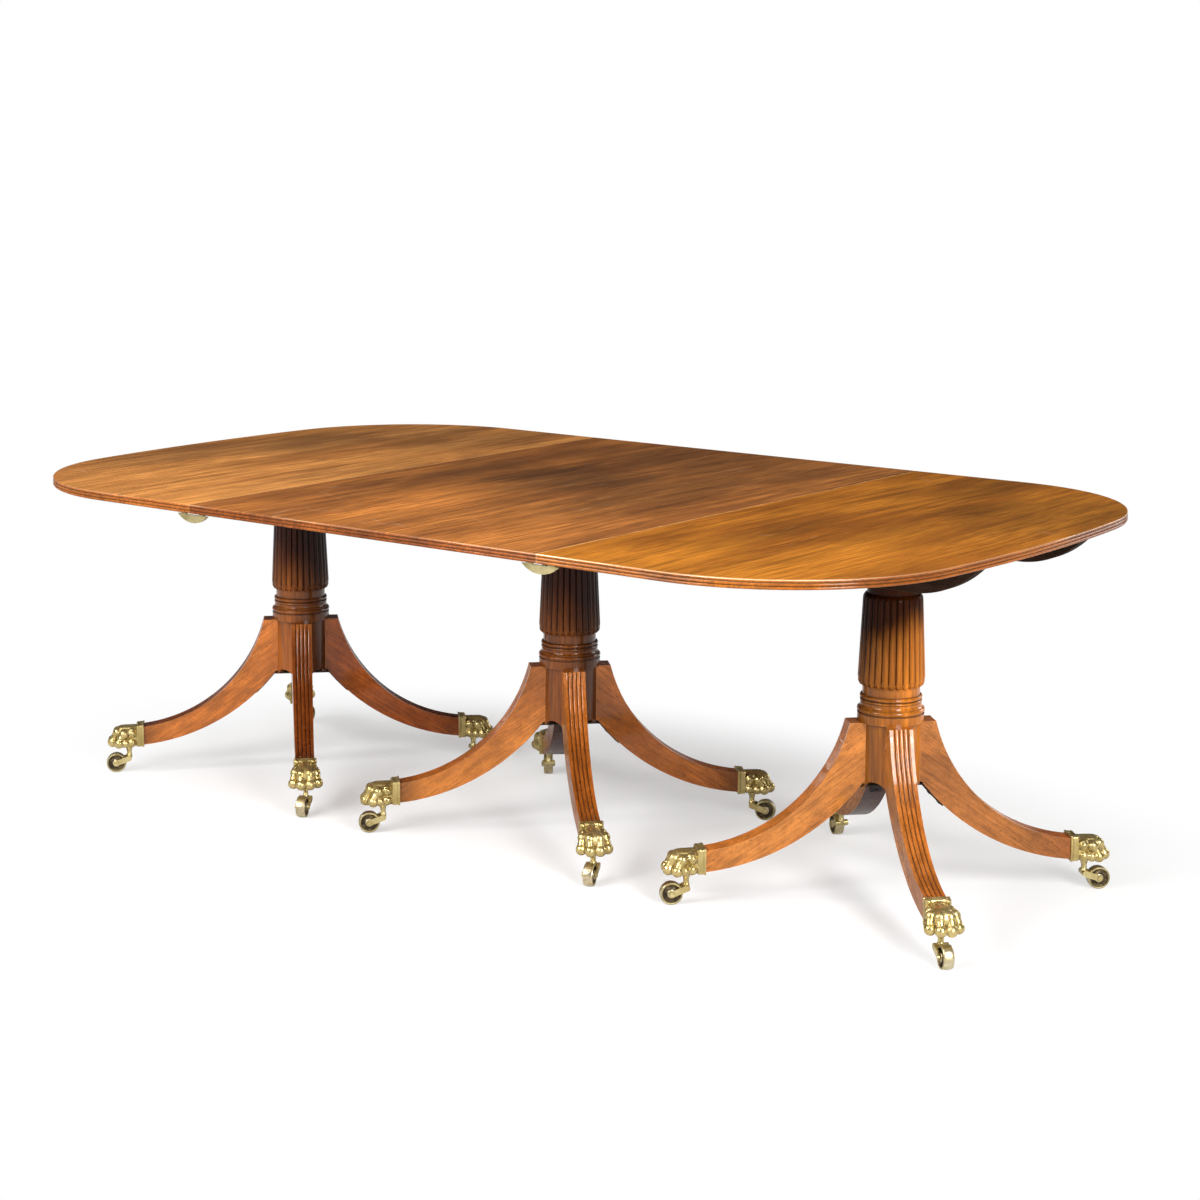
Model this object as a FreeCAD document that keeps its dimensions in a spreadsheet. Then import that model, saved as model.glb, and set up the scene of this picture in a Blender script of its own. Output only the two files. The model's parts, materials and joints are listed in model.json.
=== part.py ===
import FreeCAD, Part
import Sketcher
import math
import operator
import os

# Triple pedestal dining table, in millimetres.
# X runs along the table, Y across it and Z up from the floor under the table's centre.
# The right end section is modelled and turned half round Z for the left one.

DRIVING_SIZES = {
    # Overall sizes and the three boards
    "table_height": 725,
    "table_width": 1316,
    "centre_length": 882,
    "end_length": 655,
    "top_thickness": 18,
    "end_corner_radius": 375,
    "end_bow_radius": 3200,
    "edge_reed_depth": 2.3,
    "seam_gap": 0.5,
    "pedestal_spacing": 780,
    # Bearers under the boards and the pivot blocks between them
    "bearer_span": 370,
    "bearer_width": 30,
    "bearer_depth": 58,
    "bearer_tip": 5,
    "bearer_end_run": 130,
    "end_bearer_length": 590,
    "centre_bearer_length": 800,
    "block_length": 300,
    "block_thickness": 56,
    "block_top_gap": 0.3,
    "block_side_gap": 0.4,
    "pivot_radius": 11,
    "running_clearance": 0.06,
    # Turned column
    "base_height": 225,
    "base_radius": 58,
    "arch_height": 13,
    "arch_radius": 28,
    "leg_top_height": 350,
    "drum_radius": 64,
    "drum_height": 16,
    "quirk_height": 2,
    "lower_ring_root": 62,
    "lower_ring_height": 9.5,
    "lower_ring_swell": 2.8,
    "fillet_height": 1.2,
    "cove_height": 8,
    "cove_foot_radius": 61.2,
    "cove_head_radius": 58.6,
    "middle_ring_root": 57.6,
    "middle_ring_height": 5.6,
    "middle_ring_swell": 1.9,
    "upper_quirk_height": 0.9,
    "upper_quirk_radius": 56.6,
    "upper_ring_root": 57.2,
    "upper_ring_height": 7.6,
    "upper_ring_swell": 2.6,
    "waist_radius": 55,
    "waist_height": 20,
    "reeded_height": 176,
    "reed_count": 28,
    "reed_depth": 4,
    "reed_foot_radius": 64,
    "reed_foot_rise": 16,
    "reed_foot_inset": 8,
    "reed_head_radius": 57,
    "reed_head_drop": 11,
    "reed_head_inset": 6,
    "neck_radius": 49.5,
    "tenon_radius": 27,
    # Sabre legs and the iron strap under them
    "leg_top_reach": 84,
    "leg_top_curve": 321,
    "leg_root_height": 232,
    "leg_under_curve": 434,
    "leg_foot_reach": 358,
    "leg_foot_top": 108,
    "leg_foot_bottom": 66.5,
    "leg_root_width": 46,
    "leg_foot_width": 40,
    "leg_reed_pitch": 8.6,
    "leg_reed_depth": 2.6,
    "tongue_depth": 20,
    "tongue_root_width": 24,
    "tongue_neck_width": 16,
    "tongue_stop": 12,
    "wood_fit": 0.1,
    "strap_reach": 105,
    "strap_width": 24,
    "strap_thickness": 3,
    # Lion paw caps
    "cap_wall": 3,
    "cap_rim": 1.8,
    "cap_rim_length": 4,
    "collar_length": 24,
    "spigot_length": 20,
    "spigot_inset": 4,
    "paw_base_height": 60,
    "paw_length": 82,
    "paw_width": 72,
    "instep_crown": 12,
    "toe_ball_radius": 9.75,
    "toe_knuckle_radius": 10.5,
    "toe_waist_radius": 8.4,
    "toe_knuckle_rise": 22,
    "toe_knuckle_setback": 12,
    "outer_toe_setback": 14,
    # Castors
    "castor_setout": 35,
    "castor_trail": 29,
    "wheel_radius": 22.5,
    "wheel_width": 20,
    "wheel_crown": 1,
    "wheel_dish_depth": 4,
    "wheel_rim": 4.5,
    "wheel_hub_radius": 8.5,
    "wheel_side_gap": 0.6,
    "axle_radius": 3,
    "rivet_radius": 4.6,
    "rivet_height": 1.5,
    "fork_arm_thickness": 3.4,
    "fork_arm_slope": 20,
    "fork_eye_radius": 6,
    "fork_bar_front": 4.5,
    "neck_foot_radius": 6.6,
    "neck_curve": 21,
    "neck_collar_radius": 8.6,
    "neck_collar_height": 2.4,
    "swivel_gap": 0.3,
    "spindle_radius": 5,
    "spindle_length": 24,
    # Half-moon clips under the seams and their sockets
    "clip_inset": 12,
    "clip_chord": 84,
    "clip_drop": 16.5,
    "clip_thickness": 4,
    "clip_shoulder_gap": 4,
    "clip_tongue_inner": 18,
    "clip_tongue_width": 14,
    "clip_tongue_height": 11,
    "clip_tongue_taper": 1.6,
    "clip_clearance": 0.3,
    "socket_margin": 4,
    "socket_thickness": 2,
    # Tilt catches beside the pivot blocks
    "catch_length": 46,
    "catch_width": 34,
    "catch_depth": 15,
    "catch_gap": 2,
    "catch_wall": 3,
    "bolt_width": 10,
    "bolt_height": 8,
    "bolt_travel": 9,
    "bolt_clearance": 0.2,
    "bolt_stem_radius": 2.5,
    "bolt_knob_radius": 5.5,
    "bolt_knob_height": 8,
}

DIAGONAL = math.sqrt(0.5)
REED_FACE = 0.8  # share of a reed's half width that its hollowed flank takes
GROOVE_CLEAR = 3  # how far a groove's tool stands outside the surface
LEG_TURNS = {"rear_right": 45, "rear_left": 135, "front_left": 225, "front_right": 315}
SECTIONS = {"left": -1, "centre": 0, "right": 1}
# Degrees that each castor stands turned from its leg at rest
CASTOR_TURNS = {
    "left": {"rear_right": 20, "rear_left": -35, "front_left": 0, "front_right": -15},
    "centre": {"rear_right": -15, "rear_left": -5, "front_left": 0, "front_right": -20},
    "right": {"rear_right": 0, "rear_left": 5, "front_left": 0, "front_right": 3},
}
OUTWARD = 1  # an arc that turns anticlockwise
INWARD = -1  # an arc that turns clockwise

doc = FreeCAD.newDocument("triple_pedestal_table")
sheet = doc.addObject("Spreadsheet::Sheet", "Sizes")


class Size:
    """A length that carries its number and the sheet formula that drives it."""

    def __init__(self, text, value):
        self.text = text
        self.value = value

    def __add__(self, other):
        return combine(self, "+", other)

    def __radd__(self, other):
        return combine(other, "+", self)

    def __sub__(self, other):
        return combine(self, "-", other)

    def __rsub__(self, other):
        return combine(other, "-", self)

    def __mul__(self, other):
        return combine(self, "*", other)

    def __rmul__(self, other):
        return combine(other, "*", self)

    def __truediv__(self, other):
        return combine(self, "/", other)

    def __rtruediv__(self, other):
        return combine(other, "/", self)

    def __neg__(self):
        return combine(0, "-", self)


OPERATIONS = {"+": operator.add, "-": operator.sub, "*": operator.mul, "/": operator.truediv}


def as_size(number):
    return number if isinstance(number, Size) else Size(f"({number!r})", float(number))


def combine(left, sign, right):
    left = as_size(left)
    right = as_size(right)
    return Size(f"({left.text} {sign} {right.text})", OPERATIONS[sign](left.value, right.value))


def root(size):
    return Size(f"sqrt({size.text})", math.sqrt(size.value))


def cosine(angle):
    return Size(f"cos({angle.text} * 1 deg)", math.cos(math.radians(angle.value)))


def sine(angle):
    return Size(f"sin({angle.text} * 1 deg)", math.sin(math.radians(angle.value)))


def fill_sheet():
    sizes = {}
    for row, (alias, number) in enumerate(DRIVING_SIZES.items(), start=1):
        sheet.set(f"A{row}", alias)
        sheet.set(f"B{row}", str(number))
        sheet.setAlias(f"B{row}", alias)
        sizes[alias] = Size(f"Sizes.{alias}", float(number))
    doc.recompute()
    return sizes


size = fill_sheet()

# Levels and places that several pieces share
underside = size["table_height"] - size["top_thickness"]
seam = size["centre_length"] / 2
end_start = seam + size["seam_gap"] / 2
end_tip = seam + size["end_length"]
half_width = size["table_width"] / 2
block_top = underside - size["block_top_gap"]
block_bottom = block_top - size["block_thickness"]
pivot_reach = size["block_length"] / 2 - size["block_thickness"] / 2
pivot_drop = size["block_top_gap"] + size["block_thickness"] / 2
block_width = size["bearer_span"] - 2 * size["block_side_gap"]
bolt_drop = size["catch_wall"] + size["bolt_clearance"] + size["bolt_height"] / 2
clip_place = half_width - size["clip_inset"]
tongue_centre = size["clip_tongue_inner"] + size["clip_tongue_width"] / 2
fork_width = size["wheel_width"] + 2 * size["wheel_side_gap"] + 2 * size["fork_arm_thickness"]


def sagitta_radius(chord, sagitta):
    return (chord * chord / 4 + sagitta * sagitta) / (2 * sagitta)


def tangent_radius(inset, run):
    return (inset * inset + run * run) / (2 * inset)


def arc_centre(start, stop, radius, turn):
    """Centre of the shorter arc from start to stop."""
    across = stop[0] - start[0]
    along = stop[1] - start[1]
    chord = root(across * across + along * along)
    reach = root(radius * radius - chord * chord / 4) / chord * turn
    return ((start[0] + stop[0]) / 2 - along * reach, (start[1] + stop[1]) / 2 + across * reach)


def new_body(name):
    return doc.addObject("PartDesign::Body", name)


def new_sketch(body, name, plane, offset=None, turn=0):
    sketch = body.newObject("Sketcher::SketchObject", name)
    support = next(item for item in body.Origin.OriginFeatures if item.Role == plane)
    sketch.AttachmentSupport = [(support, "")]
    sketch.MapMode = "FlatFace"
    sketch.AttachmentOffset = FreeCAD.Placement(
        FreeCAD.Vector(), FreeCAD.Rotation(FreeCAD.Vector(0, 0, 1), turn)
    )
    if offset is not None:
        sketch.setExpression("AttachmentOffset.Base.z", offset.text)
    return sketch


def constrain(sketch, bound, kind, *where):
    index = sketch.addConstraint(Sketcher.Constraint(kind, *where, bound.value))
    if "Sizes." in bound.text:
        sketch.setExpression(f"Constraints[{index}]", bound.text)


def draw(sketch, corners, closed=True):
    """Draw an outline: each corner is (x, y), or (x, y, radius, turn) where an arc starts."""
    corners = [tuple(as_size(item) for item in corner[:3]) + tuple(corner[3:]) for corner in corners]
    count = len(corners)
    spans = []
    for place in range(count if closed else count - 1):
        start = corners[place]
        stop = corners[(place + 1) % count]
        begin = FreeCAD.Vector(start[0].value, start[1].value, 0)
        finish = FreeCAD.Vector(stop[0].value, stop[1].value, 0)
        if len(start) == 2:
            spans.append((sketch.addGeometry(Part.LineSegment(begin, finish)), 1, 2))
            continue
        radius, turn = start[2:]
        centre = arc_centre(start, stop, radius, turn)
        middle = FreeCAD.Vector(centre[0].value, centre[1].value, 0)
        first, last = (begin, finish) if turn == OUTWARD else (finish, begin)
        first_angle = math.atan2(first.y - middle.y, first.x - middle.x)
        last_angle = math.atan2(last.y - middle.y, last.x - middle.x)
        circle = Part.Circle(middle, FreeCAD.Vector(0, 0, 1), radius.value)
        index = sketch.addGeometry(Part.ArcOfCircle(circle, first_angle, last_angle))
        spans.append((index, 1, 2) if turn == OUTWARD else (index, 2, 1))
        constrain(sketch, radius, "Radius", index)
    for place, (index, begin, finish) in enumerate(spans):
        constrain(sketch, corners[place][0], "DistanceX", -1, 1, index, begin)
        constrain(sketch, corners[place][1], "DistanceY", -1, 1, index, begin)
        if closed or place < len(spans) - 1:
            following = spans[(place + 1) % len(spans)]
            joined = Sketcher.Constraint("Coincident", index, finish, following[0], following[1])
            sketch.addConstraint(joined)
    if not closed:
        constrain(sketch, corners[-1][0], "DistanceX", -1, 1, spans[-1][0], spans[-1][2])
        constrain(sketch, corners[-1][1], "DistanceY", -1, 1, spans[-1][0], spans[-1][2])


def draw_box(sketch, left, bottom, right, top):
    draw(sketch, [(left, bottom), (right, bottom), (right, top), (left, top)])


def draw_circle(sketch, x, y, radius):
    centre = FreeCAD.Vector(as_size(x).value, as_size(y).value, 0)
    index = sketch.addGeometry(Part.Circle(centre, FreeCAD.Vector(0, 0, 1), radius.value))
    constrain(sketch, as_size(x), "DistanceX", -1, 1, index, 3)
    constrain(sketch, as_size(y), "DistanceY", -1, 1, index, 3)
    constrain(sketch, radius, "Radius", index)


def draw_axis(sketch, start, stop):
    begin = FreeCAD.Vector(as_size(start[0]).value, as_size(start[1]).value, 0)
    finish = FreeCAD.Vector(as_size(stop[0]).value, as_size(stop[1]).value, 0)
    index = sketch.addGeometry(Part.LineSegment(begin, finish), True)
    for corner, end in ((start, 1), (stop, 2)):
        constrain(sketch, as_size(corner[0]), "DistanceX", -1, 1, index, end)
        constrain(sketch, as_size(corner[1]), "DistanceY", -1, 1, index, end)


def pad(body, name, sketch, length, symmetric=False, backward=False):
    feature = body.newObject("PartDesign::Pad", name)
    feature.Profile = sketch
    feature.setExpression("Length", as_size(length).text)
    feature.SideType = "Symmetric" if symmetric else "One side"
    feature.Reversed = backward
    return feature


def pocket(body, name, sketch, depth=None, symmetric=False, backward=False):
    doc.recompute()
    volume = body.Shape.Volume
    feature = body.newObject("PartDesign::Pocket", name)
    feature.Profile = sketch
    feature.SideType = "Symmetric" if symmetric else "One side"
    feature.Reversed = backward
    if depth is None:
        feature.Type = "ThroughAll"
    else:
        feature.setExpression("Length", depth.text)
    doc.recompute()
    if not body.Shape.Volume < volume:
        raise ValueError(f"{name} cuts nothing")
    return feature


def revolve(body, kind, name, sketch, axis):
    feature = body.newObject(f"PartDesign::{kind}", name)
    feature.Profile = sketch
    feature.ReferenceAxis = (sketch, [axis])
    feature.Angle = 360
    return feature


def polar_pattern(body, name, feature, count):
    pattern = body.newObject("PartDesign::PolarPattern", name)
    pattern.Originals = [feature]
    pattern.Axis = (next(item for item in body.Origin.OriginFeatures if item.Role == "Z_Axis"), [""])
    pattern.Angle = 360
    if isinstance(count, Size):
        pattern.setExpression("Occurrences", count.text)
    else:
        pattern.Occurrences = count
    body.Tip = pattern
    return pattern


def reed_edge(outer, sign):
    """Three reeds down one edge of a board, from its foot up for sign 1 or its top down for -1."""
    pitch = size["top_thickness"] / 3
    radius = sagitta_radius(pitch, size["edge_reed_depth"])
    start = 0 if sign > 0 else size["top_thickness"]
    return [(outer, start + sign * step * pitch, radius, INWARD) for step in range(3)]


def socket_places(sides):
    """Middle of each clip mortise on the given sides of the right-hand and left-hand seams."""
    return [(x, y) for x in sides for y in (-clip_place, clip_place)]


def draw_mortise(sketch, x, y, grown=0):
    """Plan of a clip tongue's mortise, grown all round."""
    half_length = size["clip_tongue_width"] / 2 + size["clip_clearance"] + grown
    half_depth = size["clip_thickness"] / 2 + size["clip_clearance"] + grown
    draw_box(sketch, x - half_length, y - half_depth, x + half_length, y + half_depth)


def cut_sockets(body, places):
    """Blind mortises for the clip tongues, with a shallow bed for each socket plate."""
    mortises = new_sketch(body, "mortises", "XY_Plane")
    beds = new_sketch(body, "socket_beds", "XY_Plane")
    for x, y in places:
        draw_mortise(mortises, x, y)
        draw_mortise(beds, x, y, size["socket_margin"] + size["wood_fit"])
    mortise_depth = size["clip_tongue_height"] + 2 * size["clip_clearance"]
    pocket(body, "mortise", mortises, mortise_depth, backward=True)
    pocket(body, "socket_bed", beds, size["socket_thickness"] + size["wood_fit"], backward=True)


def sockets(name, places):
    """Brass plates let in flush round the mortises."""
    body = new_body(name)
    sketch = new_sketch(body, "plates", "XY_Plane")
    for x, y in places:
        draw_mortise(sketch, x, y)
        draw_mortise(sketch, x, y, size["socket_margin"])
    pad(body, "plate", sketch, size["socket_thickness"])
    return body


def centre_top():
    body = new_body("centre_top_board")
    section = new_sketch(body, "section", "YZ_Plane")
    edge = half_width - size["edge_reed_depth"]
    front = reed_edge(-edge, 1) + [(-edge, size["top_thickness"])]
    rear = reed_edge(edge, -1) + [(edge, 0)]
    draw(section, front + rear)
    pad(body, "board", section, size["centre_length"] - size["seam_gap"], symmetric=True)
    cut_sockets(body, socket_places((seam - tongue_centre, tongue_centre - seam)))
    return body


def end_outline(inset):
    """D end in plan: straight sides, round corners and a slightly bowed end."""
    corner = size["end_corner_radius"] - inset
    bow = size["end_bow_radius"] - inset
    side = half_width - inset
    spread = half_width - size["end_corner_radius"]
    reach = root((bow - corner) * (bow - corner) - spread * spread)
    bow_centre = end_tip - size["end_bow_radius"]
    corner_centre = bow_centre + reach
    meet_x = bow_centre + reach * bow / (bow - corner)
    meet_y = spread * bow / (bow - corner)
    return [
        (end_start, -side),
        (corner_centre, -side, corner, OUTWARD),
        (meet_x, -meet_y, bow, OUTWARD),
        (meet_x, meet_y, corner, OUTWARD),
        (corner_centre, side),
        (end_start, side),
    ]


def end_top():
    body = new_body("end_top_board")
    plan = new_sketch(body, "plan", "XY_Plane")
    draw(plan, end_outline(size["edge_reed_depth"]))
    pad(body, "board", plan, size["top_thickness"])
    path = new_sketch(body, "edge_path", "XY_Plane")
    draw(path, end_outline(size["edge_reed_depth"]), closed=False)
    section = new_sketch(body, "edge_section", "YZ_Plane", end_start)
    edge = half_width - size["edge_reed_depth"]
    backing = edge - size["edge_reed_depth"]
    thickness = size["top_thickness"]
    draw(section, reed_edge(-edge, 1) + [(-edge, thickness), (-backing, thickness), (-backing, 0)])
    reeds = body.newObject("PartDesign::AdditivePipe", "edge_reeds")
    reeds.Profile = section
    reeds.Spine = (path, [])
    cut_sockets(body, socket_places((seam + tongue_centre,)))
    return body


def bearers(name, length):
    """A pair of bearers whose ends sweep up to the board, bored for the block's pivots."""
    body = new_body(name)
    outline = new_sketch(body, "side", "XZ_Plane", size["bearer_span"] / 2)
    half = length / 2
    tip = -size["bearer_tip"]
    foot = -size["bearer_depth"]
    run = size["bearer_end_run"]
    sweep = tangent_radius(size["bearer_depth"] - size["bearer_tip"], run)
    corners = [
        (-half, 0),
        (-half, tip, sweep, OUTWARD),
        (run - half, foot),
        (half - run, foot, sweep, OUTWARD),
        (half, tip),
        (half, 0),
    ]
    draw(outline, corners)
    draw_circle(outline, pivot_reach, -pivot_drop, size["pivot_radius"] + size["running_clearance"])
    bearer = pad(body, "bearer", outline, size["bearer_width"])
    pair = body.newObject("PartDesign::Mirrored", "pair")
    pair.Originals = [bearer]
    pair.MirrorPlane = (next(item for item in body.Origin.OriginFeatures if item.Role == "XZ_Plane"), [""])
    body.Tip = pair
    return body


def pivot_block():
    """Block on top of a column: its rounded end carries two pivots, its other end takes the catch bolt."""
    body = new_body("pivot_block")
    side = new_sketch(body, "side", "XZ_Plane")
    radius = size["block_thickness"] / 2
    back = -size["block_length"] / 2
    top = -size["block_top_gap"]
    foot = top - size["block_thickness"]
    corners = [
        (back, foot),
        (pivot_reach, foot, radius, OUTWARD),
        (pivot_reach + radius, -pivot_drop, radius, OUTWARD),
        (pivot_reach, top),
        (back, top),
    ]
    draw(side, corners)
    pad(body, "block", side, block_width, symmetric=True)
    pivots = new_sketch(body, "pivots", "XZ_Plane")
    draw_circle(pivots, pivot_reach, -pivot_drop, size["pivot_radius"])
    pad(body, "pivot", pivots, size["bearer_span"] + 2 * size["bearer_width"], symmetric=True)
    bore = new_sketch(body, "tenon_bore", "XY_Plane")
    draw_circle(bore, 0, 0, size["tenon_radius"] + size["wood_fit"])
    pocket(body, "bore", bore, symmetric=True)
    keeper = new_sketch(body, "bolt_hole", "YZ_Plane", back)
    half = size["bolt_width"] / 2 + size["bolt_clearance"]
    rise = size["bolt_height"] / 2 + size["bolt_clearance"]
    draw_box(keeper, -half, -bolt_drop - rise, half, rise - bolt_drop)
    pocket(body, "bolt_socket", keeper, size["bolt_travel"], backward=True)
    return body


def tongue_outline(fit, neck_reach):
    """Dovetail tongue of a leg in plan, grown by the fit for its socket, out to neck_reach."""
    flare = (size["tongue_root_width"] - size["tongue_neck_width"]) / 2 / size["tongue_depth"]
    inner = size["base_radius"] - size["tongue_depth"] - fit
    root_half = size["tongue_root_width"] / 2 + fit
    neck_half = root_half - flare * (neck_reach - inner)
    return [(inner, -root_half), (neck_reach, -neck_half), (neck_reach, neck_half), (inner, root_half)]


def groove_outline(radius):
    """Groove between two reeds of the column, in plan on the X axis."""
    half_angle = REED_FACE * 180 / size["reed_count"]
    deep = radius - size["reed_depth"]
    crest_x = radius * cosine(half_angle)
    crest_y = radius * sine(half_angle)
    outer_x = crest_x + GROOVE_CLEAR
    flank = tangent_radius(crest_x - deep, crest_y)
    return [
        (deep, 0, flank, OUTWARD),
        (crest_x, crest_y),
        (outer_x, crest_y),
        (outer_x, -crest_y),
        (crest_x, -crest_y, flank, OUTWARD),
    ]


def column():
    """Turned column with a reeded vase, moulded rings, a leg drum and a tenon for the block."""
    body = new_body("turned_column")
    drum_top = size["leg_top_height"] + size["drum_height"]
    ring_foot = drum_top + size["quirk_height"]
    ring_top = ring_foot + size["lower_ring_height"]
    cove_foot = ring_top + size["fillet_height"]
    cove_top = cove_foot + size["cove_height"]
    middle_foot = cove_top + size["fillet_height"]
    middle_top = middle_foot + size["middle_ring_height"]
    upper_foot = middle_top + size["upper_quirk_height"]
    upper_top = upper_foot + size["upper_ring_height"]
    reed_foot = upper_top + size["waist_height"]
    reed_top = reed_foot + size["reeded_height"]
    vase_foot = reed_foot + size["reed_foot_rise"]
    vase_top = reed_top - size["reed_head_drop"]
    lower_curve = sagitta_radius(size["lower_ring_height"], size["lower_ring_swell"])
    middle_curve = sagitta_radius(size["middle_ring_height"], size["middle_ring_swell"])
    upper_curve = sagitta_radius(size["upper_ring_height"], size["upper_ring_swell"])
    foot_curve = tangent_radius(size["reed_foot_inset"], size["reed_foot_rise"])
    head_curve = tangent_radius(size["reed_head_inset"], size["reed_head_drop"])
    tenon_top = block_top - size["wood_fit"]
    turned = new_sketch(body, "turned_outline", "XZ_Plane")
    corners = [
        (0, size["base_height"]),
        (size["base_radius"], size["base_height"]),
        (size["base_radius"], size["leg_top_height"]),
        (size["drum_radius"], size["leg_top_height"]),
        (size["drum_radius"], drum_top),
        (size["lower_ring_root"], drum_top),
        (size["lower_ring_root"], ring_foot, lower_curve, OUTWARD),
        (size["lower_ring_root"], ring_top),
        (size["cove_foot_radius"], ring_top),
        (size["cove_foot_radius"], cove_foot, size["cove_height"], INWARD),
        (size["cove_head_radius"], cove_top),
        (size["cove_head_radius"], middle_foot),
        (size["middle_ring_root"], middle_foot, middle_curve, OUTWARD),
        (size["middle_ring_root"], middle_top),
        (size["upper_quirk_radius"], middle_top),
        (size["upper_quirk_radius"], upper_foot),
        (size["upper_ring_root"], upper_foot, upper_curve, OUTWARD),
        (size["upper_ring_root"], upper_top),
        (size["waist_radius"], upper_top),
        (size["waist_radius"], reed_foot),
        (size["reed_foot_radius"] - size["reed_foot_inset"], reed_foot, foot_curve, OUTWARD),
        (size["reed_foot_radius"], vase_foot),
        (size["reed_head_radius"], vase_top, head_curve, OUTWARD),
        (size["reed_head_radius"] - size["reed_head_inset"], reed_top),
        (size["neck_radius"], reed_top),
        (size["neck_radius"], block_bottom),
        (size["tenon_radius"], block_bottom),
        (size["tenon_radius"], tenon_top),
        (0, tenon_top),
    ]
    draw(turned, corners)
    revolve(body, "Revolution", "turning", turned, "V_Axis")
    for name, plane in (("arch_along", "YZ_Plane"), ("arch_across", "XZ_Plane")):
        arch = new_sketch(body, name, plane)
        crown = size["base_height"] + size["arch_height"]
        draw_circle(arch, 0, crown - size["arch_radius"], size["arch_radius"])
        pocket(body, f"{name}_cut", arch, symmetric=True)
    socket = new_sketch(body, "leg_socket", "XY_Plane", size["base_height"], turn=LEG_TURNS["rear_right"])
    draw(socket, tongue_outline(size["wood_fit"], size["base_radius"]))
    socket_height = size["leg_top_height"] - size["tongue_stop"] + size["wood_fit"] - size["base_height"]
    cut = pocket(body, "leg_socket_cut", socket, socket_height, backward=True)
    polar_pattern(body, "leg_sockets", cut, len(LEG_TURNS))
    taper = (size["reed_foot_radius"] - size["reed_head_radius"]) / (vase_top - vase_foot)
    foot_radius = size["reed_foot_radius"] + taper * size["reed_foot_rise"]
    head_radius = size["reed_head_radius"] - taper * size["reed_head_drop"]
    foot_groove = new_sketch(body, "groove_foot", "XY_Plane", reed_foot)
    draw(foot_groove, groove_outline(foot_radius))
    head_groove = new_sketch(body, "groove_head", "XY_Plane", reed_top)
    draw(head_groove, groove_outline(head_radius))
    groove = body.newObject("PartDesign::SubtractiveLoft", "reed_groove")
    groove.Profile = foot_groove
    groove.Sections = [head_groove]
    groove.Ruled = True
    polar_pattern(body, "reeding", groove, size["reed_count"])
    return body


def leg_curves():
    """Ends and radii of the two sweeps of a sabre leg, and the centre of each."""
    foot = size["leg_foot_reach"]
    upper = ((size["leg_top_reach"], size["leg_top_height"]), (foot, size["leg_foot_top"]))
    under = ((foot, size["leg_foot_bottom"]), (size["base_radius"], size["leg_root_height"]))
    upper_centre = arc_centre(*upper, size["leg_top_curve"], OUTWARD)
    under_centre = arc_centre(*under, size["leg_under_curve"], INWARD)
    return upper, under, upper_centre, under_centre


def leg_grooves(sketch, crest):
    """Four hollowed grooves that leave five reeds along the leg's upper face."""
    pitch = size["leg_reed_pitch"]
    half = REED_FACE * pitch / 2
    deep = crest - size["leg_reed_depth"]
    flank = tangent_radius(size["leg_reed_depth"], half)
    for place in (-1.5, -0.5, 0.5, 1.5):
        middle = pitch * place
        corners = [
            (middle, deep, flank, INWARD),
            (middle + half, crest),
            (middle + half, crest + GROOVE_CLEAR),
            (middle - half, crest + GROOVE_CLEAR),
            (middle - half, crest, flank, INWARD),
        ]
        draw(sketch, corners)


def leg():
    """Sabre leg along X: a reeded sweep, a dovetail tongue and a spigot for the paw cap."""
    body = new_body("sabre_leg")
    upper, under, upper_centre, under_centre = leg_curves()
    inner = size["base_radius"] - size["tongue_depth"] / 2
    side = new_sketch(body, "side", "XZ_Plane")
    corners = [
        (inner, size["leg_top_height"]),
        (*upper[0], size["leg_top_curve"], OUTWARD),
        upper[1],
        (*under[0], size["leg_under_curve"], INWARD),
        under[1],
        (inner, size["leg_root_height"]),
    ]
    draw(side, corners)
    pad(body, "sweep", side, size["leg_root_width"], symmetric=True)
    taper = new_sketch(body, "taper", "XY_Plane")
    root_half = size["leg_root_width"] / 2
    foot_half = size["leg_foot_width"] / 2
    clear = root_half + GROOVE_CLEAR
    foot_reach = size["leg_foot_reach"]
    draw(taper, [(inner, root_half), (foot_reach, foot_half), (foot_reach, clear), (inner, clear)])
    draw(taper, [(inner, -root_half), (inner, -clear), (foot_reach, -clear), (foot_reach, -foot_half)])
    pocket(body, "taper_cut", taper, symmetric=True)
    seat = new_sketch(body, "drum_seat", "XY_Plane")
    draw_circle(seat, 0, 0, size["base_radius"] + size["wood_fit"])
    pocket(body, "seat_cut", seat, symmetric=True)
    grooves = new_sketch(body, "reed_grooves", "YZ_Plane", upper_centre[0])
    draw_axis(grooves, (-root_half, upper_centre[1]), (root_half, upper_centre[1]))
    leg_grooves(grooves, upper_centre[1] - size["leg_top_curve"])
    revolve(body, "Groove", "reeding", grooves, "Axis0")
    tongue = new_sketch(body, "tongue_plan", "XY_Plane", size["leg_root_height"])
    draw(tongue, tongue_outline(as_size(0), size["base_radius"] + size["tongue_depth"] / 4))
    pad(body, "tongue", tongue, size["leg_top_height"] - size["tongue_stop"] - size["leg_root_height"])
    spigot = new_sketch(body, "spigot_section", "YZ_Plane", size["leg_foot_reach"])
    draw_box(spigot, *spigot_section(as_size(0)))
    pad(body, "spigot", spigot, size["spigot_length"])
    return body


def spigot_section(fit):
    """Left, bottom, right and top of the spigot in a paw cap, grown by the fit."""
    half = size["leg_foot_width"] / 2 - size["spigot_inset"] + fit
    bottom = size["leg_foot_bottom"] + size["spigot_inset"] - fit
    top = size["leg_foot_top"] - size["spigot_inset"] + fit
    return -half, bottom, half, top


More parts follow.
